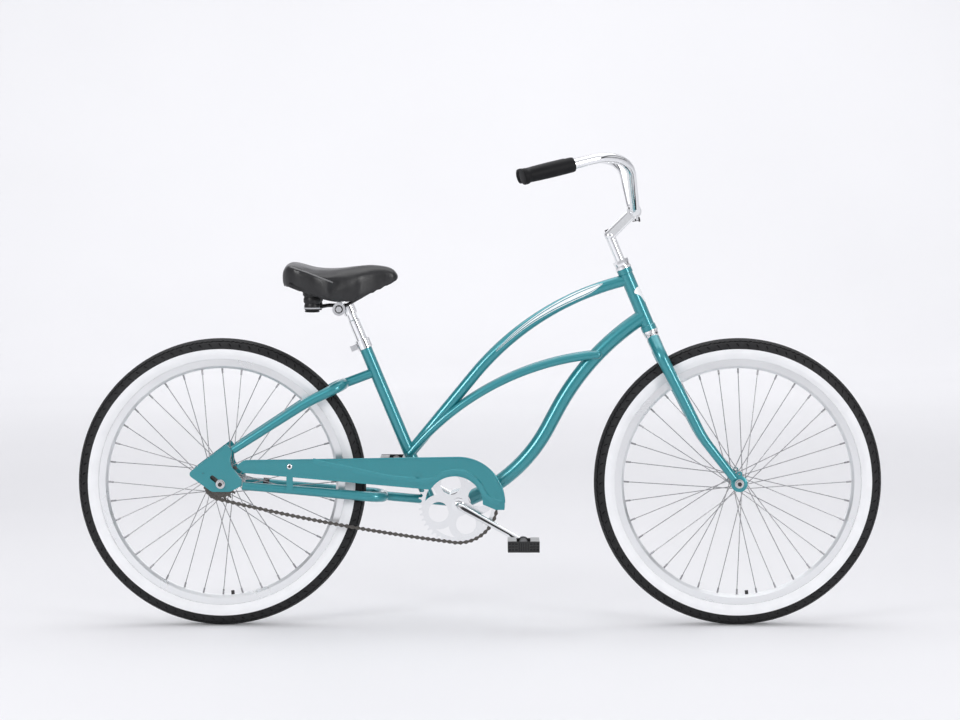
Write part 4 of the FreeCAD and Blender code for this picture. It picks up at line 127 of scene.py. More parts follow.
def block(low, high):
    """Points and faces of an upright block, given by its lowest and highest corners."""
    points = [(x, y, z) for x in (low[0], high[0]) for y in (low[1], high[1]) for z in (low[2], high[2])]
    return points, BLOCK_FACES


def full_turn(sides):
    """The angles of a full turn in equal steps."""
    return [math.tau * step / sides for step in range(sides)]


def ring_about(centre, radius, first, second, sides):
    """Points of a circle in the plane of two directions."""
    return [centre + radius * (math.cos(turn) * first + math.sin(turn) * second)
            for turn in full_turn(sides)]


def circle(centre, axis, radius, sides):
    """Points of a circle round an axis."""
    first = axis.orthogonal().normalized()
    second = axis.cross(first).normalized()
    return ring_about(centre, radius, first, second, sides)


def lathe(name, foot, axis, profile, material, sides=LATHE_SIDES):
    """A turned piece: its profile is a row of (radius, place along the axis)."""
    rings = [circle(foot + along * axis, axis, radius, sides) for radius, along in profile]
    return smooth(mesh_object(name, *skin(rings), material))


def headings(path):
    """The direction of a path at each of its points."""
    last = len(path) - 1
    return [(path[min(index + 1, last)] - path[max(index - 1, 0)]).normalized()
            for index in range(len(path))]


def rod(name, path, radius, material):
    """A thin round rod along a path."""
    rings = []
    for point, heading in zip(path, headings(path)):
        first = heading.cross(ACROSS if abs(heading.y) < CROSSWISE_SHARE else UPRIGHT).normalized()
        second = heading.cross(first).normalized()
        rings.append(ring_about(point, radius, first, second, ROD_SIDES))
    return smooth(mesh_object(name, *skin(rings), material), SOFT_SHARP_ANGLE)


def shell_ring(centre, outs, outer, inner):
    """A closed ring of a thin shell: along its outer radius, and back along its inner one."""
    return [centre + out * outer for out in outs] + [centre + out * inner for out in reversed(outs)]


def blend_row(row, place):
    """Values between the stations of a row, by a smooth curve through all of them."""
    last = len(row) - 1
    index = max(1, min(last, next((i for i, station in enumerate(row) if station[0] >= place), last)))
    before, start, end, after = (row[max(0, min(last, index + shift))] for shift in (-2, -1, 0, 1))
    length = end[0] - start[0]
    share = (place - start[0]) / length
    square, cube = share ** 2, share ** 3
    values = []
    for a, b, c, d in zip(before[1:], start[1:], end[1:], after[1:]):
        slope_in = length * (c - a) / (end[0] - before[0])
        slope_out = length * (d - b) / (after[0] - start[0])
        values.append((2 * cube - 3 * square + 1) * b + (cube - 2 * square + share) * slope_in
                      + (3 * square - 2 * cube) * c + (cube - square) * slope_out)
    return values


def walk_row(row, steps):
    """Evenly spaced places from the first station of a row to the last, each with its blended value."""
    first, last = row[0][0], row[-1][0]
    places = [first + (last - first) * step / steps for step in range(steps + 1)]
    return [(place, blend_row(row, place)[0]) for place in places]


def in_metres(rows):
    """Rows of millimetres as rows of metres."""
    return [tuple(value * MM for value in row) for row in rows]


def scaled(rows, radius, height, foot=0):
    """A profile in shares of a radius and a height, as real sizes above a foot."""
    return [(share * radius, foot + rise * height) for share, rise in rows]


def side_spot(low, high, along_share, across, up_share):
    """A spot by its shares along and up a box, at a place across the bicycle."""
    return Vector((low.x + along_share * (high.x - low.x), across, low.z + up_share * (high.z - low.z)))


def upward(heading):
    """The upper direction square to a heading and to the bicycle's width."""
    up = heading.cross(ACROSS).normalized()
    return -up if up.z < 0 else up


def surface_tree(piece):
    """The surface of a piece, for rays and nearest points."""
    return BVHTree.FromObject(piece, bpy.context.evaluated_depsgraph_get())


def outer_face(node, side):
    """How far across the bicycle a solid reaches on one side."""
    low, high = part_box(node)
    return low.y if side < 0 else high.y


def outermost_spots(node, reach):
    """Middles of the separate flat ends that stand furthest out on the drive side of a solid."""
    points = [vertex.co for vertex in solids[node].data.vertices]
    outermost = min(point.y for point in points)
    groups = []
    for point in points:
        if point.y < outermost + FLATNESS:
            group = next((group for group in groups if (group[0] - point).length < reach), None)
            if group is None:
                groups.append([point])
            else:
                group.append(point)
    return [Vector([(min(values) + max(values)) / 2 for values in zip(*group)]) for group in groups]


# Materials

NOISE = "ShaderNodeTexNoise"
# The part of a noise's values over which tone and polish change.
NOISE_SPAN = (0.3, 0.7)
CLOUD_SCALE = 45

TEAL = (0.018, 0.25, 0.29)
FLAKE_TONES = ((0.012, 0.20, 0.235), (0.024, 0.29, 0.33))
FLAKE_SCALE = 1600
PEEL_SCALE = 220
PEEL_DEPTH = 0.02 * MM

WALL_WHITE = (0.80, 0.81, 0.82)
WALL_TONES = ((0.765, 0.77, 0.785), (0.81, 0.815, 0.83))
WALL_POLISH = (0.38, 0.5)
WALL_CLOUD_SCALE = 30
WALL_GRAIN_SCALE = 900
WALL_GRAIN_DEPTH = 0.05 * MM

FLOOR_GREY = (0.765, 0.765, 0.78)
FLOOR_TONES = ((0.755, 0.755, 0.77), (0.775, 0.775, 0.79))
FLOOR_CLOUD_SCALE = 0.6

# Name, colour, roughness from and to, the share of the colour in darker spots, and the scale of those spots.
METALS = {
    "chrome": ("chrome", (0.90, 0.91, 0.92), (0.03, 0.07), 0.95, 160),
    "rim_metal": ("rim_alloy", (0.93, 0.94, 0.95), (0.27, 0.31), 0.98, 9),
    "hub_metal": ("hub_alloy", (0.78, 0.79, 0.80), (0.22, 0.36), 0.9, 160),
    "steel": ("zinced_steel", (0.72, 0.72, 0.73), (0.2, 0.34), 0.9, 160),
    "spoke_steel": ("spoke_steel", (0.36, 0.36, 0.37), (0.25, 0.35), 0.9, 160),
    "chainring_metal": ("chainring_alloy", (0.90, 0.91, 0.92), (0.14, 0.22), 0.96, 40),
    "chain_steel": ("oiled_steel", (0.16, 0.15, 0.14), (0.3, 0.46), 0.55, 400),
}
# Name, darker and paler tone, roughness from and to, and the scale and the depth in millimetres of the grain.
GRAINED = {
    "tyre_rubber": ("tread_black", (0.012, 0.012, 0.013), (0.02, 0.02, 0.021), (0.5, 0.62), 700, 0.1),
    "tube_rubber": ("tube_black", (0.02, 0.02, 0.02), (0.03, 0.03, 0.03), (0.5, 0.65), 500, 0.1),
    "grip_rubber": ("grip_black", (0.004, 0.004, 0.005), (0.008, 0.008, 0.009), (0.42, 0.52), 1400, 0.1),
    "bumper_rubber": ("bumper_black", (0.006, 0.006, 0.007), (0.011, 0.011, 0.012), (0.36, 0.5), 900, 0.1),
    "saddle_vinyl": ("saddle_vinyl", (0.008, 0.008, 0.009), (0.014, 0.014, 0.015), (0.3, 0.38), 420, 0.15),
    "saddle_plastic": ("saddle_plastic", (0.01, 0.01, 0.011), (0.018, 0.018, 0.019), (0.45, 0.55), 500, 0.1),
    "black_steel": ("black_enamel", (0.008, 0.008, 0.009), (0.014, 0.014, 0.015), (0.2, 0.3), 300, 0.03),
    # A paler copy of the black pedal plastic: painted highlight on the pedals' raised bars.
    "pedal_bars": ("pedal_bars", (0.03, 0.03, 0.031), (0.045, 0.045, 0.046), (0.4, 0.5), 600, 0.1),
    "pedal_plastic": ("pedal_black", (0.006, 0.006, 0.007), (0.012, 0.012, 0.013), (0.4, 0.5), 600, 0.1),
    "tread_rubber": ("tread_grey", (0.38, 0.38, 0.385), (0.48, 0.48, 0.485), (0.45, 0.6), 600, 0.1),
    # The piping is real; its grey, far paler than the saddle's vinyl, is a painted highlight along the seam.
    "piping": ("piping_vinyl", (0.14, 0.14, 0.143), (0.2, 0.2, 0.203), (0.3, 0.4), 800, 0.05),
    "stripes": ("stripe_enamel", (0.80, 0.82, 0.83), (0.88, 0.89, 0.90), (0.2, 0.3), 300, 0.01),
}
# What some of them have apart from that.
GRAINED_EXTRAS = {
    "tyre_rubber": {"gloss": 0.22},
    "grip_rubber": {"gloss": 0.16},
    "saddle_vinyl": {"gloss": 0.5, "texture": "ShaderNodeTexVoronoi", "output": "Distance"},
    "black_steel": {"coat_weight": 0.5},
}
# Pieces that look unlike the rest of their slot
OWN_FINISHES = {"rear_axle": "black_steel", "front_axle": "black_steel", "brake_arm_clip": "black_steel",
                "fork_ends": "frame_paint"}


def shader(name, colour, roughness, metallic=0.0, **sockets):
    """A material with its plain values set on the shader itself."""
    material = bpy.data.materials.new(name)
    material.use_nodes = True
    tree = material.node_tree
    surface = tree.nodes["Principled BSDF"]
    surface.inputs["Base Color"].default_value = (*colour, 1)
    surface.inputs["Roughness"].default_value = roughness
    surface.inputs["Metallic"].default_value = metallic
    for socket, value in sockets.items():
        surface.inputs[socket.replace("_", " ").title()].default_value = value
    return material, tree, surface


def placed(tree, texture, scale):
    """A texture laid over the piece's own place in metres."""
    place = tree.nodes.new("ShaderNodeTexCoord")
    made = tree.nodes.new(texture)
    made.inputs["Scale"].default_value = scale
    tree.links.new(place.outputs["Object"], made.inputs["Vector"])
    return made


def tone(tree, surface, noise, low, high):
    """Base colour that runs between two tones with a noise."""
    ramp = tree.nodes.new("ShaderNodeValToRGB")
    for element, position, colour in zip(ramp.color_ramp.elements, NOISE_SPAN, (low, high)):
        element.position = position
        element.color = (*colour, 1)
    tree.links.new(noise, ramp.inputs["Fac"])
    tree.links.new(ramp.outputs["Color"], surface.inputs["Base Color"])


def wear(tree, surface, noise, low, high):
    """Roughness that runs between two values with a noise."""
    spread = tree.nodes.new("ShaderNodeMapRange")
    for socket, value in zip(("From Min", "From Max", "To Min", "To Max"), (*NOISE_SPAN, low, high)):
        spread.inputs[socket].default_value = value
    tree.links.new(noise, spread.inputs["Value"])
    tree.links.new(spread.outputs["Result"], surface.inputs["Roughness"])


def relief(tree, surface, height, depth):
    """Fine surface relief from a texture, its depth in metres."""
    bump = tree.nodes.new("ShaderNodeBump")
    bump.inputs["Distance"].default_value = depth
    tree.links.new(height, bump.inputs["Height"])
    tree.links.new(bump.outputs["Normal"], surface.inputs["Normal"])


def paint_material():
    """Teal metallic lacquer with a fine flake and a clear coat."""
    material, tree, surface = shader("teal_lacquer", TEAL, roughness=0.3, metallic=0.45,
                                     coat_weight=1.0, coat_roughness=0.03)
    flake = placed(tree, NOISE, FLAKE_SCALE)
    tone(tree, surface, flake.outputs["Fac"], *FLAKE_TONES)
    peel = placed(tree, NOISE, PEEL_SCALE)
    relief(tree, surface, peel.outputs["Fac"], PEEL_DEPTH)
    return material


def white_wall_material():
    """White rubber sidewall with a faint bloom."""
    material, tree, surface = shader("white_wall", WALL_WHITE, roughness=0.45)
    cloud = placed(tree, NOISE, WALL_CLOUD_SCALE)
    tone(tree, surface, cloud.outputs["Fac"], *WALL_TONES)
    wear(tree, surface, cloud.outputs["Fac"], *WALL_POLISH)
    fine = placed(tree, NOISE, WALL_GRAIN_SCALE)
    relief(tree, surface, fine.outputs["Fac"], WALL_GRAIN_DEPTH)
    return material


def floor_material():
    """Pale studio floor with a barely visible unevenness."""
    material, tree, surface = shader("studio_floor", FLOOR_GREY, roughness=0.6)
    cloud = placed(tree, NOISE, FLOOR_CLOUD_SCALE)
    tone(tree, surface, cloud.outputs["Fac"], *FLOOR_TONES)
    return material


def metal_material(name, colour, roughness, shade, scale):
    """Bare or plated metal whose polish and tone vary a little."""
    material, tree, surface = shader(name, colour, roughness[1], metallic=1.0)
    cloud = placed(tree, NOISE, scale)
    wear(tree, surface, cloud.outputs["Fac"], *roughness)
    tone(tree, surface, cloud.outputs["Fac"], tuple(shade * part for part in colour), colour)
    return material


def grained_material(name, low, high, roughness, grain, depth,
                     texture=NOISE, output="Fac", gloss=0.4, **sockets):
    """Rubber, vinyl, plastic or enamel with a grain."""
    material, tree, surface = shader(name, high, roughness[1], **sockets)
    surface.inputs["Specular IOR Level"].default_value = gloss
    cloud = placed(tree, NOISE, CLOUD_SCALE)
    tone(tree, surface, cloud.outputs["Fac"], low, high)
    wear(tree, surface, cloud.outputs["Fac"], *roughness)
    skin_grain = placed(tree, texture, grain)
    relief(tree, surface, skin_grain.outputs[output], depth * MM)
    return material


finishes = {"frame_paint": paint_material(), "white_wall": white_wall_material()}
for slot, values in METALS.items():
    finishes[slot] = metal_material(*values)
for slot, values in GRAINED.items():
    finishes[slot] = grained_material(*values, **GRAINED_EXTRAS.get(slot, {}))

for row in frame["record"]["subparts"]:
    solid = solids[row["node"]].data
    solid.materials.clear()
    solid.materials.append(finishes[OWN_FINISHES.get(row["node"], row["material_slot"])])


# Tyres: a black tread with ribs and slanted cuts over white sidewalls

SECTION_RADIUS = 27 * MM
TYRE_WALL = 5.0 * MM
GROOVE_DEPTH = 2.8 * MM
LINE_RISE = 0.5 * MM
# Angles in degrees of the section from its crown.
BEAD_ANGLE = 141
WHITE_FROM = 83
SLANT_END = 70
ZIGZAG = 7.0
INSIDE_STEP = 20
TYRE_SHARP_ANGLE = 32
TREAD_PITCHES = 88
# Places of the tread's columns within one pitch, and which of them a cut takes up.
COLUMN_SHARES = (0.0, 0.05, 0.12, 0.17, 0.5, 0.75)
CUT_COLUMNS = (1, 2)
CUT_SLANT_SHARE = 0.9
# Section angle in degrees from the crown, its share of the zigzag, and what the row is part of.
HALF_ROWS = [(0, 0, "rib"), (7, 0, "rib"), (8.5, 0, "groove"), (11, 0, "groove"), (12.5, 0, "rib"),
             (18, 0.3, "rib"), (25, 0.7, "rib"), (33.5, 1, "rib"), (35, 1, "groove"), (39, 1, "groove"),
             (40.5, 1, "rib"), (49, 0.4, "rib"), (54, 0, "rib"), (56, 0, "cut"), (63, 0, "cut"),
             (69, 0, "cut"), (71, 0, "rib"), (77, 0, "rib"), (81, 0, "rib"), (82, 0, "line"), (84, 0, "line"),
             (85, 0, "rib"), (96, 0, "rib"), (108, 0, "rib"), (120, 0, "rib"), (131, 0, "rib"),
             (133, 0, "line"), (136, 0, "line"), (137, 0, "rib"), (BEAD_ANGLE, 0, "rib")]


def tread_rows():
    """Rows of the whole section, from one bead over the crown to the other, then back inside."""
    outside = [(-angle, swing, kind) for angle, swing, kind in reversed(HALF_ROWS[1:])] + HALF_ROWS
    inside = [(angle, 0, "inside") for angle in range(BEAD_ANGLE - 1, -BEAD_ANGLE, -INSIDE_STEP)]
    return outside + inside + [(1 - BEAD_ANGLE, 0, "inside")]


def triangle_wave(share):
    """A wave that falls from 1 to -1 and rises back in one pitch."""
    return 4 * abs(share - 0.5) - 1


def tyre(name, axle, node, body):
    """One balloon tyre round its axle."""
    low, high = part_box(node)
    crown_radius = (high.z - low.z) / 2 - SECTION_RADIUS
    rows = tread_rows()
    pitch = math.tau / TREAD_PITCHES
    rings = []
    for number in range(TREAD_PITCHES * len(COLUMN_SHARES)):
        whole, column = divmod(number, len(COLUMN_SHARES))
        share = COLUMN_SHARES[column]
        turn = pitch * (whole + share)
        swing = ZIGZAG * triangle_wave(share)
        ring = []
        for angle, swing_share, kind in rows:
            radius = SECTION_RADIUS
            if kind == "inside":
                radius -= TYRE_WALL
            elif kind == "line":
                radius += LINE_RISE
            elif kind == "groove" or (kind == "cut" and column in CUT_COLUMNS):
                radius -= GROOVE_DEPTH
            across = math.radians(angle + math.copysign(swing * swing_share, angle))
            slant = CUT_SLANT_SHARE * pitch * min(1, abs(angle) / SLANT_END)
            out = crown_radius + radius * math.cos(across)
            ring.append(axle + Vector((out * math.sin(turn + slant), radius * math.sin(across),
                                       out * math.cos(turn + slant))))
        rings.append(ring)
    piece = mesh_object(name, *skin(rings, loop=True), finishes["tyre_rubber"], finishes["white_wall"])
    white_rows = [WHITE_FROM < abs(angle) and kind != "inside" for angle, _, kind in rows]
    for index, face in enumerate(piece.data.polygons):
        row = index % len(rows)
        face.material_index = int(white_rows[row] and white_rows[(row + 1) % len(rows)])
    smooth(piece, TYRE_SHARP_ANGLE)
    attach(piece, body)
    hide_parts(node)


tyre("front_tyre_treaded", joint_places["front_wheel_spin"], "front_tyre", "front_wheel")
tyre("rear_tyre_treaded", joint_places["rear_wheel_spin"], "rear_tyre", "rear_wheel")


# Saddle: padded cover with a piped seam on each side

# Place along the saddle, half width, crown, edge and belly, all as shares of its size.
SADDLE_STATION_SHARES = [(0.0, 0.68, 0.90, 0.80, 0.40), (0.02, 0.79, 1.01, 0.89, 0.39),
                         (0.05, 0.87, 1.035, 0.94, 0.365), (0.09, 0.94, 1.015, 0.925, 0.335),
                         (0.14, 0.98, 0.975, 0.875, 0.28), (0.22, 1.0, 0.905, 0.785, 0.195),
                         (0.30, 0.97, 0.865, 0.69, 0.12), (0.40, 0.87, 0.853, 0.58, 0.035),
                         (0.51, 0.66, 0.869, 0.53, -0.03), (0.58, 0.54, 0.895, 0.54, -0.06),
                         (0.63, 0.47, 0.912, 0.555, -0.02), (0.68, 0.40, 0.93, 0.58, 0.055),
                         (0.81, 0.29, 0.955, 0.67, 0.225), (0.92, 0.24, 0.92, 0.71, 0.385),
                         (0.977, 0.20, 0.83, 0.69, 0.48), (1.0, 0.14, 0.72, 0.63, 0.525)]
SADDLE_RINGS = 90
TOP_STEPS = 14
# Power of the rounded crown's curve, where 1 would be an ellipse.
CROWN_POWER = 2 / 2.5
END_ROUND = 3 * MM
END_STEPS = 4
NOSE_OVERHANG = 12 * MM
TAIL_OVERHANG = 3 * MM
# Half width and rise from the belly, as shares, of the skirt down to its lip.
SKIRT_SHARES = [(0.995, 0.72), (0.98, 0.4), (0.955, 0.12), (0.92, 0.0)]
UNDER_STEPS = 12
UNDER_RISE_SHARE = 0.06
BASE_GAP = 1.0 * MM

VOXEL = 4 * MM
SWELL = 3 * MM
SWELL_PRESSURE = 4.0
SWELL_FRAMES = 20
HELD_REACH = 4 * MM
SKIN_STIFFNESS = 30.0
IRON_FACTOR = 0.5
IRON_ROUNDS = 12

# Place of the seam along the saddle and its height there, as shares of the saddle's size.
SEAM_SHARES = [(0.063, 0.95), (0.15, 0.865), (0.244, 0.765), (0.34, 0.645), (0.438, 0.518)]
SEAM_STEPS = 24
SEAM_RADIUS = 1.7 * MM


def saddle_ring(place, low, high, base):
    """One closed ring of the saddle cover across its length; its underside lies on the saddle's base."""
    half, crown, edge, belly = blend_row(SADDLE_STATION_SHARES, place)
    half_width = half * (high.y - low.y) / 2
    height = high.z - low.z
    along = low.x + place * (high.x - low.x)
    outline = []
    for step in range(-TOP_STEPS, TOP_STEPS + 1):
        turn = math.pi / 2 * step / TOP_STEPS
        aside = math.copysign(abs(math.sin(turn)) ** CROWN_POWER, turn)
        rise = edge + (crown - edge) * abs(math.cos(turn)) ** CROWN_POWER
        outline.append((half_width * aside, low.z + height * rise))
    skirt = [(half_width * share, low.z + height * (belly + (edge - belly) * rise))
             for share, rise in SKIRT_SHARES]
    lip_half, lip_height = skirt[-1]
    bare = lip_height + UNDER_RISE_SHARE * height
    under = []
    for step in range(1, UNDER_STEPS):
        aside = lip_half * (1 - 2 * step / UNDER_STEPS)
        rest = base.ray_cast(Vector((along, aside, high.z)), -UPRIGHT)[0]
        under.append((aside, max(bare, rest.z + BASE_GAP) if rest else bare))
    outline += skirt + under + [(-aside, rise) for aside, rise in reversed(skirt)]
    return [Vector((along, aside, rise)) for aside, rise in outline]


def drawn_in(ring, inset, shift):
    """A ring moved along the saddle and drawn in towards its middle by a length."""
    lows = [min(values) for values in zip(*ring)]
    highs = [max(values) for values in zip(*ring)]
    middle = [(low + high) / 2 for low, high in zip(lows, highs)]
    shares = [1 - 2 * inset / (high - low) if high > low else 1 for low, high in zip(lows, highs)]
    return [Vector((point.x + shift, middle[1] + shares[1] * (point.y - middle[1]),
                    middle[2] + shares[2] * (point.z - middle[2]))) for point in ring]


def saddle_mesh(low, high, base):
    """Rings of the cover from the tail to the nose, with both ends rounded."""
    inner_low = Vector((low.x + END_ROUND, low.y, low.z))
    inner_high = Vector((high.x - END_ROUND, high.y, high.z))
    rings = [saddle_ring(step / SADDLE_RINGS, inner_low, inner_high, base)
             for step in range(SADDLE_RINGS + 1)]
    tail, nose = rings[0], rings[-1]
    for step in range(1, END_STEPS + 1):
        turn = math.pi / 2 * step / END_STEPS
        inset = END_ROUND * (1 - math.cos(turn))
        shift = END_ROUND * math.sin(turn)
        rings.insert(0, drawn_in(tail, inset, -shift))
        rings.append(drawn_in(nose, inset, shift))
    return skin(rings)


def settled_mesh(piece):
    """The piece's mesh with its modifiers applied."""
    view = bpy.context.evaluated_depsgraph_get()
    return bpy.data.meshes.new_from_object(piece.evaluated_get(view))


def swell(piece, base):
    """The skin swells under the foam's pressure by at most a set length, held where it lies on the base."""
    remesh = piece.modifiers.new("even_out", "REMESH")
    remesh.mode = "VOXEL"
    remesh.voxel_size = VOXEL
    even = settled_mesh(piece)
    piece.modifiers.clear()
    piece.data = even
    starts = [vertex.co.copy() for vertex in even.vertices]
    near_base = [index for index, start in enumerate(starts) if base.find_nearest(start)[3] < HELD_REACH]
    held = piece.vertex_groups.new(name="held")
    held.add(near_base, 1.0, "REPLACE")
    cloth = piece.modifiers.new("swell", "CLOTH")
    cloth.settings.use_pressure = True
    cloth.settings.uniform_pressure_force = SWELL_PRESSURE
    cloth.settings.bending_stiffness = SKIN_STIFFNESS
    cloth.settings.effector_weights.gravity = 0
    cloth.settings.vertex_group_mass = held.name
    scene = bpy.context.scene
    for number in range(1, SWELL_FRAMES + 1):
        scene.frame_set(number)
    swollen = settled_mesh(piece)
    piece.modifiers.clear()
    piece.vertex_groups.clear()
    scene.frame_set(1)
    for vertex, start in zip(swollen.vertices, starts):
        move = vertex.co - start
        if move.length > SWELL:
            vertex.co = start + move.normalized() * SWELL
    piece.data = swollen


def seam_path(cover_surface, low, high, side):
    """Where the seam runs along one side of the cover, found on its surface."""
    path = []
    for place, rise in walk_row(SEAM_SHARES, SEAM_STEPS):
        start = side_spot(low, high, place, side, rise)
        hit = cover_surface.ray_cast(start, -side * ACROSS)[0]
        if hit:
            path.append(hit)
    return path


def saddle():
    """The padded cover and the piping of its two seams."""
    low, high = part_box("saddle_cover")
    high.x += NOSE_OVERHANG
    low.x -= TAIL_OVERHANG
    base = surface_tree(solids["saddle_base"])
    start_low, start_high = low + Vector((SWELL, SWELL, 0)), high - Vector((SWELL, SWELL, SWELL))
    points, faces = saddle_mesh(start_low, start_high, base)
    cover = mesh_object("saddle_padded_cover", points, faces, finishes["saddle_vinyl"])
    swell(cover, base)
    smooth(cover, SOFT_SHARP_ANGLE)
    iron = cover.modifiers.new("iron", "SMOOTH")
    iron.factor = IRON_FACTOR
    iron.iterations = IRON_ROUNDS
    soften = cover.modifiers.new("soften", "SUBSURF")
    soften.levels = soften.render_levels = 1
    bpy.context.view_layer.update()
    cover_surface = surface_tree(cover)
    for word, side in SIDES.items():
        path = seam_path(cover_surface, low, high, side)
        # The piping's pale grey is a painted highlight along the seam.
        piping = rod(f"saddle_seam_{word}", path, SEAM_RADIUS, finishes["piping"])
        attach(piping, "saddle")
    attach(cover, "saddle")
    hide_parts("saddle_cover")


saddle()


# Under the saddle: two rubber bumpers, and the nuts of its clamp

# Radius and height, as shares of the bumper's own, of its foot and its head.
BUMPER_FOOT_SHARES = [(0.5, 0.0), (0.7, 0.0), (0.8, 0.05)]
BUMPER_HEAD_SHARES = [(0.86, 0.98), (0.7, 1.0)]
# Where the folds start, how much of the height they take up, and how wide the lowest is and the others grow.
BUMPER_FOLDS = 3
BUMPER_FOLDS_FROM_SHARE = 0.08
BUMPER_FOLDS_HEIGHT_SHARE = 0.9
BUMPER_LOWEST_SHARE = 0.84
BUMPER_GROWTH_SHARE = 0.14
# Radius and height of the points of one fold, as shares of the fold's own.
BUMPER_FOLD_SHARES = [(0.86, 0.0), (1.0, 0.25), (1.0, 0.7)]
# The bright ring: its place, radius and height, and its section as shares of those.
BUMPER_RING_PLACE_SHARE = 0.14
BUMPER_RING_RADIUS_SHARE = 0.92
BUMPER_RING_HEIGHT_SHARE = 0.085
BUMPER_RING_SHARES = [(0.8, 0.0), (1.0, 0.15), (1.0, 0.85), (0.8, 1.0)]

JAW_REACH = 40 * MM
# Radius and height in millimetres above the jaw of the dark washer and of the six-sided nut on it.
JAW_WASHER_PROFILE = [(9.6, -0.3), (9.6, 0.8), (8.8, 1.2), (3.0, 1.2)]
JAW_NUT_PROFILE = [(6.6, 1.0), (6.6, 4.2), (5.4, 5.0), (2.0, 5.0)]
NUT_SIDES = 6


def bumper(word, side):
    """A folded rubber bumper with a bright ring near its foot."""
    low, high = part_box("saddle_bumpers")
    radius = (high.x - low.x) / 2
    height = high.z - low.z
    centre = Vector(((low.x + high.x) / 2, side * (high.y - radius), low.z))
    fold_height = height * BUMPER_FOLDS_HEIGHT_SHARE / BUMPER_FOLDS
    profile = scaled(BUMPER_FOOT_SHARES, radius, height)
    for fold in range(BUMPER_FOLDS):
        wide = radius * (BUMPER_LOWEST_SHARE + BUMPER_GROWTH_SHARE * fold / (BUMPER_FOLDS - 1))
        start = height * BUMPER_FOLDS_FROM_SHARE + fold_height * fold
        profile += scaled(BUMPER_FOLD_SHARES, wide, fold_height, start)
    profile += scaled(BUMPER_HEAD_SHARES, radius, height)
    body = lathe(f"saddle_bumper_{word}", centre, UPRIGHT, profile, finishes["bumper_rubber"])
    ring_foot = centre + UPRIGHT * BUMPER_RING_PLACE_SHARE * height
    ring_profile = scaled(BUMPER_RING_SHARES, BUMPER_RING_RADIUS_SHARE * radius,
                          BUMPER_RING_HEIGHT_SHARE * height)
    ring = lathe(f"saddle_bumper_ring_{word}", ring_foot, UPRIGHT, ring_profile, finishes["chrome"])
    for piece in (body, ring):
        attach(piece, "saddle")
    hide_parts("saddle_bumpers")


def clamp_nut(word, side):
    """The nut and dark washer on one end of the saddle clamp."""
    foot = outermost_spots("saddle_clamp_jaws", JAW_REACH)[0]
    foot.y = outer_face("saddle_clamp_jaws", side)
    for name, profile, finish, sides in (("washer", JAW_WASHER_PROFILE, "black_steel", LATHE_SIDES),
                                         ("nut", JAW_NUT_PROFILE, "chrome", NUT_SIDES)):
        piece = lathe(f"saddle_clamp_{name}_{word}", foot, side * ACROSS, in_metres(profile),
                      finishes[finish], sides)
        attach(piece, "post")


for word, side in SIDES.items():
    bumper(word, side)
for word, side in SIDES.items():
    clamp_nut(word, side)


# Grips

# The left grip's bar from its last bend to its end, from the middle of the handlebar clamp.
BAR_SHOULDER = Vector((-23, 230, 138)) * MM
BAR_END = Vector((-259, 320, 80)) * MM
GRIP_LENGTH = 122 * MM
# Radius in millimetres and place along the grip, as a share of its length.
GRIP_PROFILE = [(14.0, -0.025), (17.4, -0.02), (18.3, 0.0), (18.3, 0.05), (17.6, 0.075), (16.0, 0.10),
                (16.0, 0.14), (16.7, 0.30), (17.2, 0.50), (17.2, 0.70), (17.0, 0.92), (16.8, 0.97),
                (16.0, 0.992), (14.0, 1.0)]


def grip(word, side):
    """A smooth rubber grip with a flared end."""
    mirror = Vector((1, side, 1))
    end = joint_places["handlebar_tilt"] + BAR_END * mirror
    inward = (BAR_SHOULDER * mirror - BAR_END * mirror).normalized()
    profile = scaled(GRIP_PROFILE, MM, GRIP_LENGTH)
    piece = lathe(f"grip_{word}", end, inward, profile, finishes["grip_rubber"])
    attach(piece, "bars")
    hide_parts("grips")


for word, side in SIDES.items():
    grip(word, side)


# Pedals: moulded ends on the outer plates

PEDAL_END_BACK = 1.0 * MM
PEDAL_END_PROUD = 2.6 * MM
PEDAL_RIM = 3.2 * MM
PEDAL_BAR = 1.8 * MM
# Places of the upright bars across the end face, as shares of its half length from the middle.
PEDAL_BAR_SHARES = (0.07, 0.21, 0.35, 0.58, 0.77)
PEDAL_BAR_RISE_SHARE = 0.22
PEDAL_GRID_FROM_SHARE = 0.35


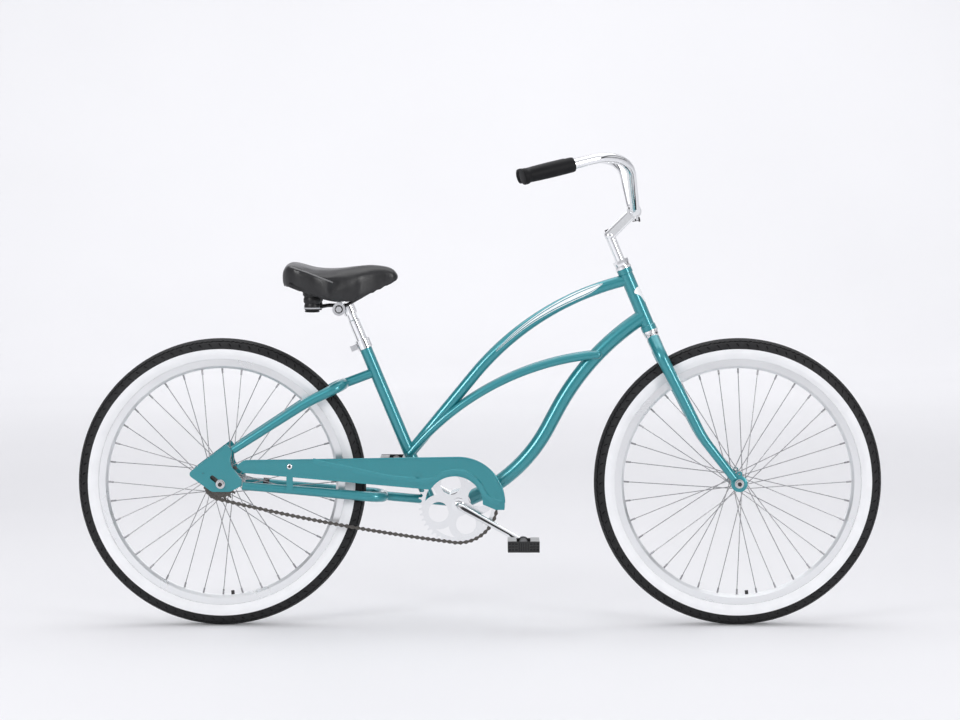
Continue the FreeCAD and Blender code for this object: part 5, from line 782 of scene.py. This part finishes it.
def pedal_end(word, side):
    """A moulded end face: a rim all round, a ribbed middle and a grid of pockets at each end."""
    face = outer_face(f"pedal_{word}", side)
    tread_low, tread_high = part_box(f"pedal_{word}_treads")
    middle = (tread_low + tread_high) / 2
    half_x, half_z = (tread_high.x - tread_low.x) / 2, (tread_high.z - tread_low.z) / 2
    half_bar = PEDAL_BAR / 2

    def bar(x_from, x_to, z_from, z_to, proud=PEDAL_END_PROUD):
        """One bar that stands out from the end face."""
        near, far = sorted((face, face + side * proud))
        return block((middle.x + x_from, near, middle.z + z_from), (middle.x + x_to, far, middle.z + z_to))

    back = [bar(-half_x, half_x, -half_z, half_z, PEDAL_END_BACK)]
    bars = [bar(-half_x, half_x, half_z - PEDAL_RIM, half_z),
            bar(-half_x, half_x, -half_z, PEDAL_RIM - half_z)]
    uprights = [share * half_x for share in PEDAL_BAR_SHARES] + [half_x - half_bar]
    for end in (-1, 1):
        for upright in uprights:
            x = end * upright
            bars.append(bar(x - half_bar, x + half_bar, -half_z, half_z))
        x_from, x_to = sorted((end * PEDAL_GRID_FROM_SHARE * half_x, end * half_x))
        for rise in (-1, 1):
            z = rise * PEDAL_BAR_RISE_SHARE * half_z
            bars.append(bar(x_from, x_to, z - half_bar, z + half_bar))
    # The raised bars take a paler copy of the black pedal plastic: painted highlight.
    for name, shapes, finish in (("end", back, "pedal_plastic"), ("bars", bars, "pedal_bars")):
        piece = mesh_object(f"pedal_{name}_{word}", *joined(shapes), finishes[finish])
        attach(piece, f"{word}_pedal")


for word, side in SIDES.items():
    pedal_end(word, side)


# Chain: plates with two round lobes and a waist, on rollers and pins

PIN_REACH = 5 * MM
LOBE_RADIUS = 4.4 * MM
WAIST_HALF = 1.8 * MM
LOBE_STEPS = 8
LOBE_SPAN = math.radians(125)
ROLLER_RADIUS = 3.8 * MM
PIN_RADIUS = 1.95 * MM
PIN_HALF = 4.9 * MM
# Where each kind of plate lies from the chain's middle: its inner and its outer face.
INNER_PLATE = (1.8 * MM, 3.0 * MM)
OUTER_PLATE = (3.1 * MM, 4.3 * MM)
ROUND_SIDES = 14


def loop_order(spots):
    """Spots in order round the chain, each followed by the nearest one left."""
    left = list(spots)
    loop = [left.pop()]
    while left:
        nearest = min(left, key=lambda spot: (spot - loop[-1]).length)
        left.remove(nearest)
        loop.append(nearest)
    return loop


def link_outline(start, end):
    """Outline of one link plate between two pins."""
    ahead = (end - start).normalized()
    up = ahead.cross(ACROSS)
    middle = (start + end) / 2
    points = []
    for centre, way in ((end, 1), (start, -1)):
        for step in range(LOBE_STEPS + 1):
            turn = LOBE_SPAN * (2 * step / LOBE_STEPS - 1)
            points.append(centre + way * LOBE_RADIUS * (math.cos(turn) * ahead + math.sin(turn) * up))
        points.append(middle + way * WAIST_HALF * up)
    return points


def across_skin(outline, near, far):
    """A flat outline made solid between two places across the bicycle."""
    return skin([[point + ACROSS * place for point in outline] for place in (near, far)])


def chain():
    """All links of the chain, set on the pins of the solid chain."""
    outermost = loop_order(outermost_spots("chain", PIN_REACH))
    pins = [spot + ACROSS * PIN_HALF for spot in outermost]
    shapes = []
    for number, pin in enumerate(pins):
        outline = link_outline(pin, pins[(number + 1) % len(pins)])
        near, far = INNER_PLATE if number % 2 else OUTER_PLATE
        shapes.append(across_skin(outline, near, far))
        shapes.append(across_skin(outline, -far, -near))
        for radius, half in ((ROLLER_RADIUS, INNER_PLATE[0]), (PIN_RADIUS, PIN_HALF)):
            shapes.append(across_skin(circle(pin, ACROSS, radius, ROUND_SIDES), -half, half))
    piece = smooth(mesh_object("chain_links", *joined(shapes), finishes["chain_steel"]))
    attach(piece, "frame")
    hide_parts("chain")


chain()


# Chain guard: the pressed step of its panel, its rolled upper edge and its rear screw

CREASE_STEPS = 90
# Places of the crease along and up the guard, as shares of its length and height.
CREASE_SHARES = [(0.285, 0.955), (0.35, 0.882), (0.41, 0.816), (0.47, 0.749), (0.53, 0.68), (0.57, 0.642),
                 (0.61, 0.62), (0.665, 0.595), (0.71, 0.575), (0.735, 0.61), (0.77, 0.71), (0.81, 0.75),
                 (0.852, 0.725), (0.89, 0.61), (0.913, 0.475), (0.932, 0.30), (0.955, 0.21), (0.985, 0.16)]
# Place up from the crease and depth from the guard's face of the pressed step's section, in millimetres.
CREASE_SECTION = [(3.4, 0.6), (3.4, -0.1), (0.5, -2.8), (-1.0, -2.8), (-9.0, -0.1), (-9.0, 0.6)]
RIM_STEPS = 120
RIM_RADIUS = 2.2 * MM
RIM_SINK = 1.0 * MM
STRIP_SHARP_ANGLE = 30
SCREW_REACH = 12 * MM
SCREW_HEAD_HEIGHT = 2.6 * MM
# Radius and height in millimetres above the guard of a screw's domed head, and of the black disc that paints the
# shade in its socket.
SCREW_PROFILE = [(5.3, 0.0), (6.0, 0.2), (6.0, 1.6), (5.0, 2.7), (3.4, 3.0)]
SOCKET_SHADE_PROFILE = [(3.2, 2.0), (3.2, 3.1), (1.0, 3.1)]


def along_guard(path, section, name):
    """A strip of one section that follows a path on the guard's face."""
    rings = []
    for point, heading in zip(path, headings(path)):
        up = heading.cross(ACROSS)
        rings.append([point + up * rise + ACROSS * depth for rise, depth in section])
    piece = smooth(mesh_object(name, *skin(rings), finishes["frame_paint"]), STRIP_SHARP_ANGLE)
    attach(piece, "frame")


def guard_crease():
    """The pressed step from the guard's upper edge down to its lower band and round the chainring."""
    low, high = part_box("chain_guard")
    path = [side_spot(low, high, place, low.y, rise) for place, rise in walk_row(CREASE_SHARES, CREASE_STEPS)]
    along_guard(path, in_metres(CREASE_SECTION), "chain_guard_crease")


def guard_rim():
    """The rolled upper edge of the guard, found on the solid from above."""
    low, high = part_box("chain_guard")
    guard_surface = surface_tree(solids["chain_guard"])
    path = []
    for step in range(1, RIM_STEPS):
        # The points lie closer together towards the steep front.
        share = 1 - (1 - step / RIM_STEPS) ** 2
        start = Vector((low.x + share * (high.x - low.x), low.y + RIM_SINK, high.z + RIM_RADIUS))
        hit = guard_surface.ray_cast(start, -UPRIGHT)[0]
        if hit:
            path.append(hit)
    section = [(RIM_RADIUS * math.cos(turn) - RIM_SINK, RIM_RADIUS * math.sin(turn))
               for turn in full_turn(ROUND_SIDES)]
    along_guard(path, section, "chain_guard_rim")


def guard_screw():
    """A domed screw head with a black disc as painted shade in its socket, over the plain rear head of the solid.
    """
    spot = min(outermost_spots("chain_guard_brackets", SCREW_REACH), key=lambda place: place.x)
    foot = spot + ACROSS * SCREW_HEAD_HEIGHT
    # The socket is a flat black disc: painted shade where the recess would be.
    for name, profile, finish in (("head", SCREW_PROFILE, "chrome"),
                                  ("socket", SOCKET_SHADE_PROFILE, "black_steel")):
        piece = lathe(f"guard_screw_{name}", foot, -ACROSS, in_metres(profile), finishes[finish])
        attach(piece, "frame")


guard_crease()
guard_rim()
guard_screw()


# Fork: a rounded flange round each end of the front axle

# Radius and height in millimetres above the fork end's face.
FLANGE_PROFILE = [(17.5, -1.6), (19.0, -1.0), (19.0, 0.5), (17.8, 1.3), (4.0, 1.3)]


def fork_flange(word, side):
    """The flange that rounds off one fork blade at the axle."""
    foot = joint_places["front_wheel_spin"].copy()
    foot.y = outer_face("fork_ends", side)
    piece = lathe(f"fork_flange_{word}", foot, side * ACROSS, in_metres(FLANGE_PROFILE),
                  finishes["frame_paint"])
    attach(piece, "fork")


for word, side in SIDES.items():
    fork_flange(word, side)


# Cranks: a painted dark reflection along each arm, a thin black strip for the dark that the arm's bevel reflects

REFLECTION_FROM_SHARE = 0.02
REFLECTION_TO_SHARE = 0.86
REFLECTION_STEPS = 40
REFLECTION_COLUMNS = 6
REFLECTION_PROUD = 0.4 * MM
# How far outside the crank the rays start that find its face.
REFLECTION_RAY_START = 4 * MM
# Place along the painted reflection and its width there in millimetres.
REFLECTION_WIDTHS = [(0.0, 2.0), (0.05, 6.5), (0.3, 5.8), (0.6, 4.4), (0.93, 3.2), (1.0, 0.6)]


def crank_painted_reflection(word, side):
    """A painted dark reflection along one crank arm's outer face, laid on the solid: a black strip for the dark
    that the arm's bevel reflects.
    """
    start, end = joint_places["crank_spin"], joint_places[f"{word}_pedal_spin"]
    arm = Vector((end.x - start.x, 0, end.z - start.z))
    up = upward(arm)
    crank_surface = surface_tree(solids["crank"])
    outside = outer_face("crank", side) + side * REFLECTION_RAY_START
    proud = side * ACROSS * REFLECTION_PROUD
    rings = []
    for share, width in walk_row(REFLECTION_WIDTHS, REFLECTION_STEPS):
        spine = start + arm * (REFLECTION_FROM_SHARE + (REFLECTION_TO_SHARE - REFLECTION_FROM_SHARE) * share)
        hits = []
        for column in range(REFLECTION_COLUMNS + 1):
            spot = spine + up * width * MM * (column / REFLECTION_COLUMNS - 0.5)
            spot.y = outside
            hits.append(crank_surface.ray_cast(spot, -side * ACROSS)[0])
        if all(hits):
            rings.append([hit + proud for hit in hits] + [hit - proud for hit in reversed(hits)])
    # A black strip on the arm's face: painted dark reflection.
    piece = smooth(mesh_object(f"crank_painted_reflection_{word}", *skin(rings), finishes["black_steel"]))
    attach(piece, "cranks")


for word, side in SIDES.items():
    crank_painted_reflection(word, side)


# Blank badge on the head tube and stripes on the top tube

BADGE_HEIGHT = 46 * MM
# Degrees round the head tube at the badge's widest.
BADGE_SPAN = 172
BADGE_PLACE_SHARE = 0.52
BADGE_THICKNESS = 1.2 * MM
BADGE_SINK = 0.2 * MM
BADGE_ROWS = 20
BADGE_COLUMNS = 16
# How far in front of the head tube's axis the ray starts that finds its face, in tube radii.
BADGE_RAY_SHARE = 3
# Height on the badge and its width there, as shares of both.
BADGE_WIDTH_SHARES = [(0.0, 0.1), (0.3, 0.38), (0.55, 0.58), (0.76, 1.0), (0.9, 0.94), (1.0, 0.62)]

STRIPE_FROM_SHARE = 0.40
STRIPE_TO_SHARE = 0.90
STRIPE_STEPS = 60
STRIPE_COLUMNS = 8
STRIPE_PROUD = 0.3 * MM
# Place along each stripe, and its upper and lower edge in degrees round the tube from its top.
STRIPES = {
    "upper": [(0.0, 78, 79), (0.3, 58, 65), (0.75, 40, 53), (0.93, 43, 52), (1.0, 51, 52)],
    "lower": [(0.0, 84, 85), (0.3, 74, 85), (0.75, 63, 96), (0.9, 60, 88), (1.0, 57, 58)],
    "line": [(0.0, 91, 93), (0.3, 94, 99), (0.75, 106, 113), (0.88, 98, 104), (1.0, 61, 63)],
}


def badge():
    """A plain shield-shaped plate that follows the head tube's front."""
    low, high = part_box("head_tube")
    up = joint_axes["steering"]
    foot = joint_places["steering"]
    forward = ACROSS.cross(up).normalized()
    middle_z = low.z + BADGE_PLACE_SHARE * (high.z - low.z)
    centre = foot + up * ((middle_z - foot.z) / up.z)
    ray_start = centre + forward * BADGE_RAY_SHARE * (high.y - low.y) / 2
    hit = surface_tree(solids["head_tube"]).ray_cast(ray_start, -forward)[0]
    tube_radius = (hit - centre).length
    rings = []
    for share, width in walk_row(BADGE_WIDTH_SHARES, BADGE_ROWS):
        turns = [math.radians(BADGE_SPAN) * width * (column / BADGE_COLUMNS - 0.5)
                 for column in range(BADGE_COLUMNS + 1)]
        outs = [math.cos(turn) * forward + math.sin(turn) * ACROSS for turn in turns]
        place = centre + up * BADGE_HEIGHT * (share - 0.5)
        rings.append(shell_ring(place, outs, tube_radius + BADGE_THICKNESS, tube_radius - BADGE_SINK))
    piece = smooth(mesh_object("head_badge_blank", *skin(rings), finishes["stripes"]))
    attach(piece, "frame")


def stripe(name, edges, side):
    """A thin pointed stripe that follows the top tube."""
    low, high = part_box("top_tube")
    radius = (high.y - low.y) / 2
    tube_surface = surface_tree(solids["top_tube"])
    spine = []
    for step in range(STRIPE_STEPS + 1):
        share = STRIPE_FROM_SHARE + (STRIPE_TO_SHARE - STRIPE_FROM_SHARE) * step / STRIPE_STEPS
        x = low.x + share * (high.x - low.x)
        top = tube_surface.ray_cast(Vector((x, 0, high.z + radius)), -UPRIGHT)[0]
        bottom = tube_surface.ray_cast(Vector((x, 0, low.z - radius)), UPRIGHT)[0]
        spine.append((top + bottom) / 2)
    rings = []
    for step, (point, heading) in enumerate(zip(spine, headings(spine))):
        rise = upward(heading)
        upper, lower = blend_row(edges, step / STRIPE_STEPS)
        turns = [math.radians(upper + (lower - upper) * column / STRIPE_COLUMNS)
                 for column in range(STRIPE_COLUMNS + 1)]
        outs = [math.cos(turn) * rise + side * math.sin(turn) * ACROSS for turn in turns]
        rings.append(shell_ring(point, outs, radius + STRIPE_PROUD, radius - STRIPE_PROUD))
    piece = mesh_object(name, *skin(rings), finishes["stripes"])
    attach(piece, "frame")


badge()
for word, side in SIDES.items():
    for place, edges in STRIPES.items():
        stripe(f"top_tube_stripe_{word}_{place}", edges, side)


# Studio: pale sweep, soft lights and the camera, in metres

FLOOR_HALF = 30.0
SWEEP_START = 9.0
SWEEP_RADIUS = 3.0
SWEEP_STEPS = 16
SWEEP_TOP = 10.0

# Each light's place, the point that it is turned to, its width and height, and its power in watts.
LIGHTS = {
    "overhead_box": ((0.0, 0.5, 3.4), (0, 0, 0.3), (4.2, 2.2), 42),
    "front_left_box": ((-3.4, -4.4, 2.4), (0, 0, 0.5), (1.6, 2.2), 105),
    "front_right_box": ((3.8, -4.0, 2.0), (0, 0, 0.5), (1.4, 2.4), 85),
    "wall_wash": ((0.0, 7.0, 7.0), (0, 12.0, 1.2), (12.0, 1.6), 365),
}

# Height of a direction, from straight down to straight up as 0 to 1, and the room's brightness there.
ROOM_BANDS = [(0.0, 0.9), (0.52, 0.9), (0.545, 0.1), (0.6, 0.1), (0.635, 0.95), (1.0, 1.0)]
# The same from the left to the right, with two narrow dark flags.
ROOM_FLAGS = [(0.0, 1.0), (0.07, 1.0), (0.085, 0.1), (0.115, 0.1), (0.13, 1.0), (0.87, 1.0), (0.885, 0.1),
              (0.915, 0.1), (0.93, 1.0), (1.0, 1.0)]
ROOM_TINT = 1.02
ROOM_STRENGTH = 0.8

EYE = Vector((0, -6.9, 1.05))
AIM = Vector((0, 0, 0.616))
VIEW_WIDTH = 2.223
# The sensor's width and the lens are in millimetres.
SENSOR = 36.0


def studio_sweep():
    """A floor that curves up into a back wall."""
    outline = [(-FLOOR_HALF, 0.0), (SWEEP_START, 0.0)]
    for step in range(1, SWEEP_STEPS + 1):
        turn = math.pi / 2 * step / SWEEP_STEPS
        outline.append((SWEEP_START + SWEEP_RADIUS * math.sin(turn), SWEEP_RADIUS * (1 - math.cos(turn))))
    outline.append((SWEEP_START + SWEEP_RADIUS, SWEEP_TOP))
    points = [(x, y, z) for x in (-FLOOR_HALF, FLOOR_HALF) for y, z in outline]
    count = len(outline)
    faces = [(index, count + index, count + index + 1, index + 1) for index in range(count - 1)]
    sweep = smooth(mesh_object("studio_sweep", points, faces, floor_material()))


def aimed(name, data, place, aim):
    """A light or a camera at a place, turned to a point."""
    made = bpy.data.objects.new(name, data)
    made.location = place
    made.rotation_euler = (Vector(aim) - Vector(place)).to_track_quat("-Z", "Y").to_euler()
    bpy.context.scene.collection.objects.link(made)
    return made


def area_light(name, place, aim, size, power):
    """A soft box light, itself hidden from the camera."""
    lamp = bpy.data.lights.new(name, "AREA")
    lamp.shape = "RECTANGLE"
    lamp.size, lamp.size_y = size
    lamp.energy = power
    made = aimed(name, lamp, place, aim)
    made.visible_camera = False


def banded(tree, direction, stops):
    """Grey levels that change along one direction of the room."""
    spread = tree.nodes.new("ShaderNodeMapRange")
    spread.inputs["From Min"].default_value = -1
    spread.inputs["From Max"].default_value = 1
    ramp = tree.nodes.new("ShaderNodeValToRGB")
    # New stops lie halfway until they get their places.
    while len(ramp.color_ramp.elements) < len(stops):
        ramp.color_ramp.elements.new(0.5)
    for element, (position, level) in zip(ramp.color_ramp.elements, stops):
        element.position = position
        element.color = (level, level, level * ROOM_TINT, 1)
    tree.links.new(direction, spread.inputs["Value"])
    tree.links.new(spread.outputs["Result"], ramp.inputs["Fac"])
    return ramp.outputs["Color"]


def world_light():
    """Bright room with a dark band above eye height and two dark flags, for crisp lines on polished metal."""
    world = bpy.data.worlds.new("studio_room")
    bpy.context.scene.world = world
    world.use_nodes = True
    tree = world.node_tree
    place = tree.nodes.new("ShaderNodeTexCoord")
    split = tree.nodes.new("ShaderNodeSeparateXYZ")
    both = tree.nodes.new("ShaderNodeVectorMath")
    both.operation = "MULTIPLY"
    background = tree.nodes["Background"]
    tree.links.new(place.outputs["Generated"], split.inputs["Vector"])
    tree.links.new(banded(tree, split.outputs["Z"], ROOM_BANDS), both.inputs[0])
    tree.links.new(banded(tree, split.outputs["X"], ROOM_FLAGS), both.inputs[1])
    tree.links.new(both.outputs["Vector"], background.inputs["Color"])
    background.inputs["Strength"].default_value = ROOM_STRENGTH


def camera():
    """The photograph's viewpoint: level with the handlebar, square to the bicycle's side."""
    lens = bpy.data.cameras.new("photo_camera")
    lens.sensor_fit = "HORIZONTAL"
    lens.sensor_width = SENSOR
    lens.lens = SENSOR * (AIM - EYE).length / VIEW_WIDTH
    bpy.context.scene.camera = aimed("photo_camera", lens, EYE, AIM)


studio_sweep()
world_light()
for name, values in LIGHTS.items():
    area_light(name, *values)
camera()
bpy.context.scene.view_settings.view_transform = "Standard"
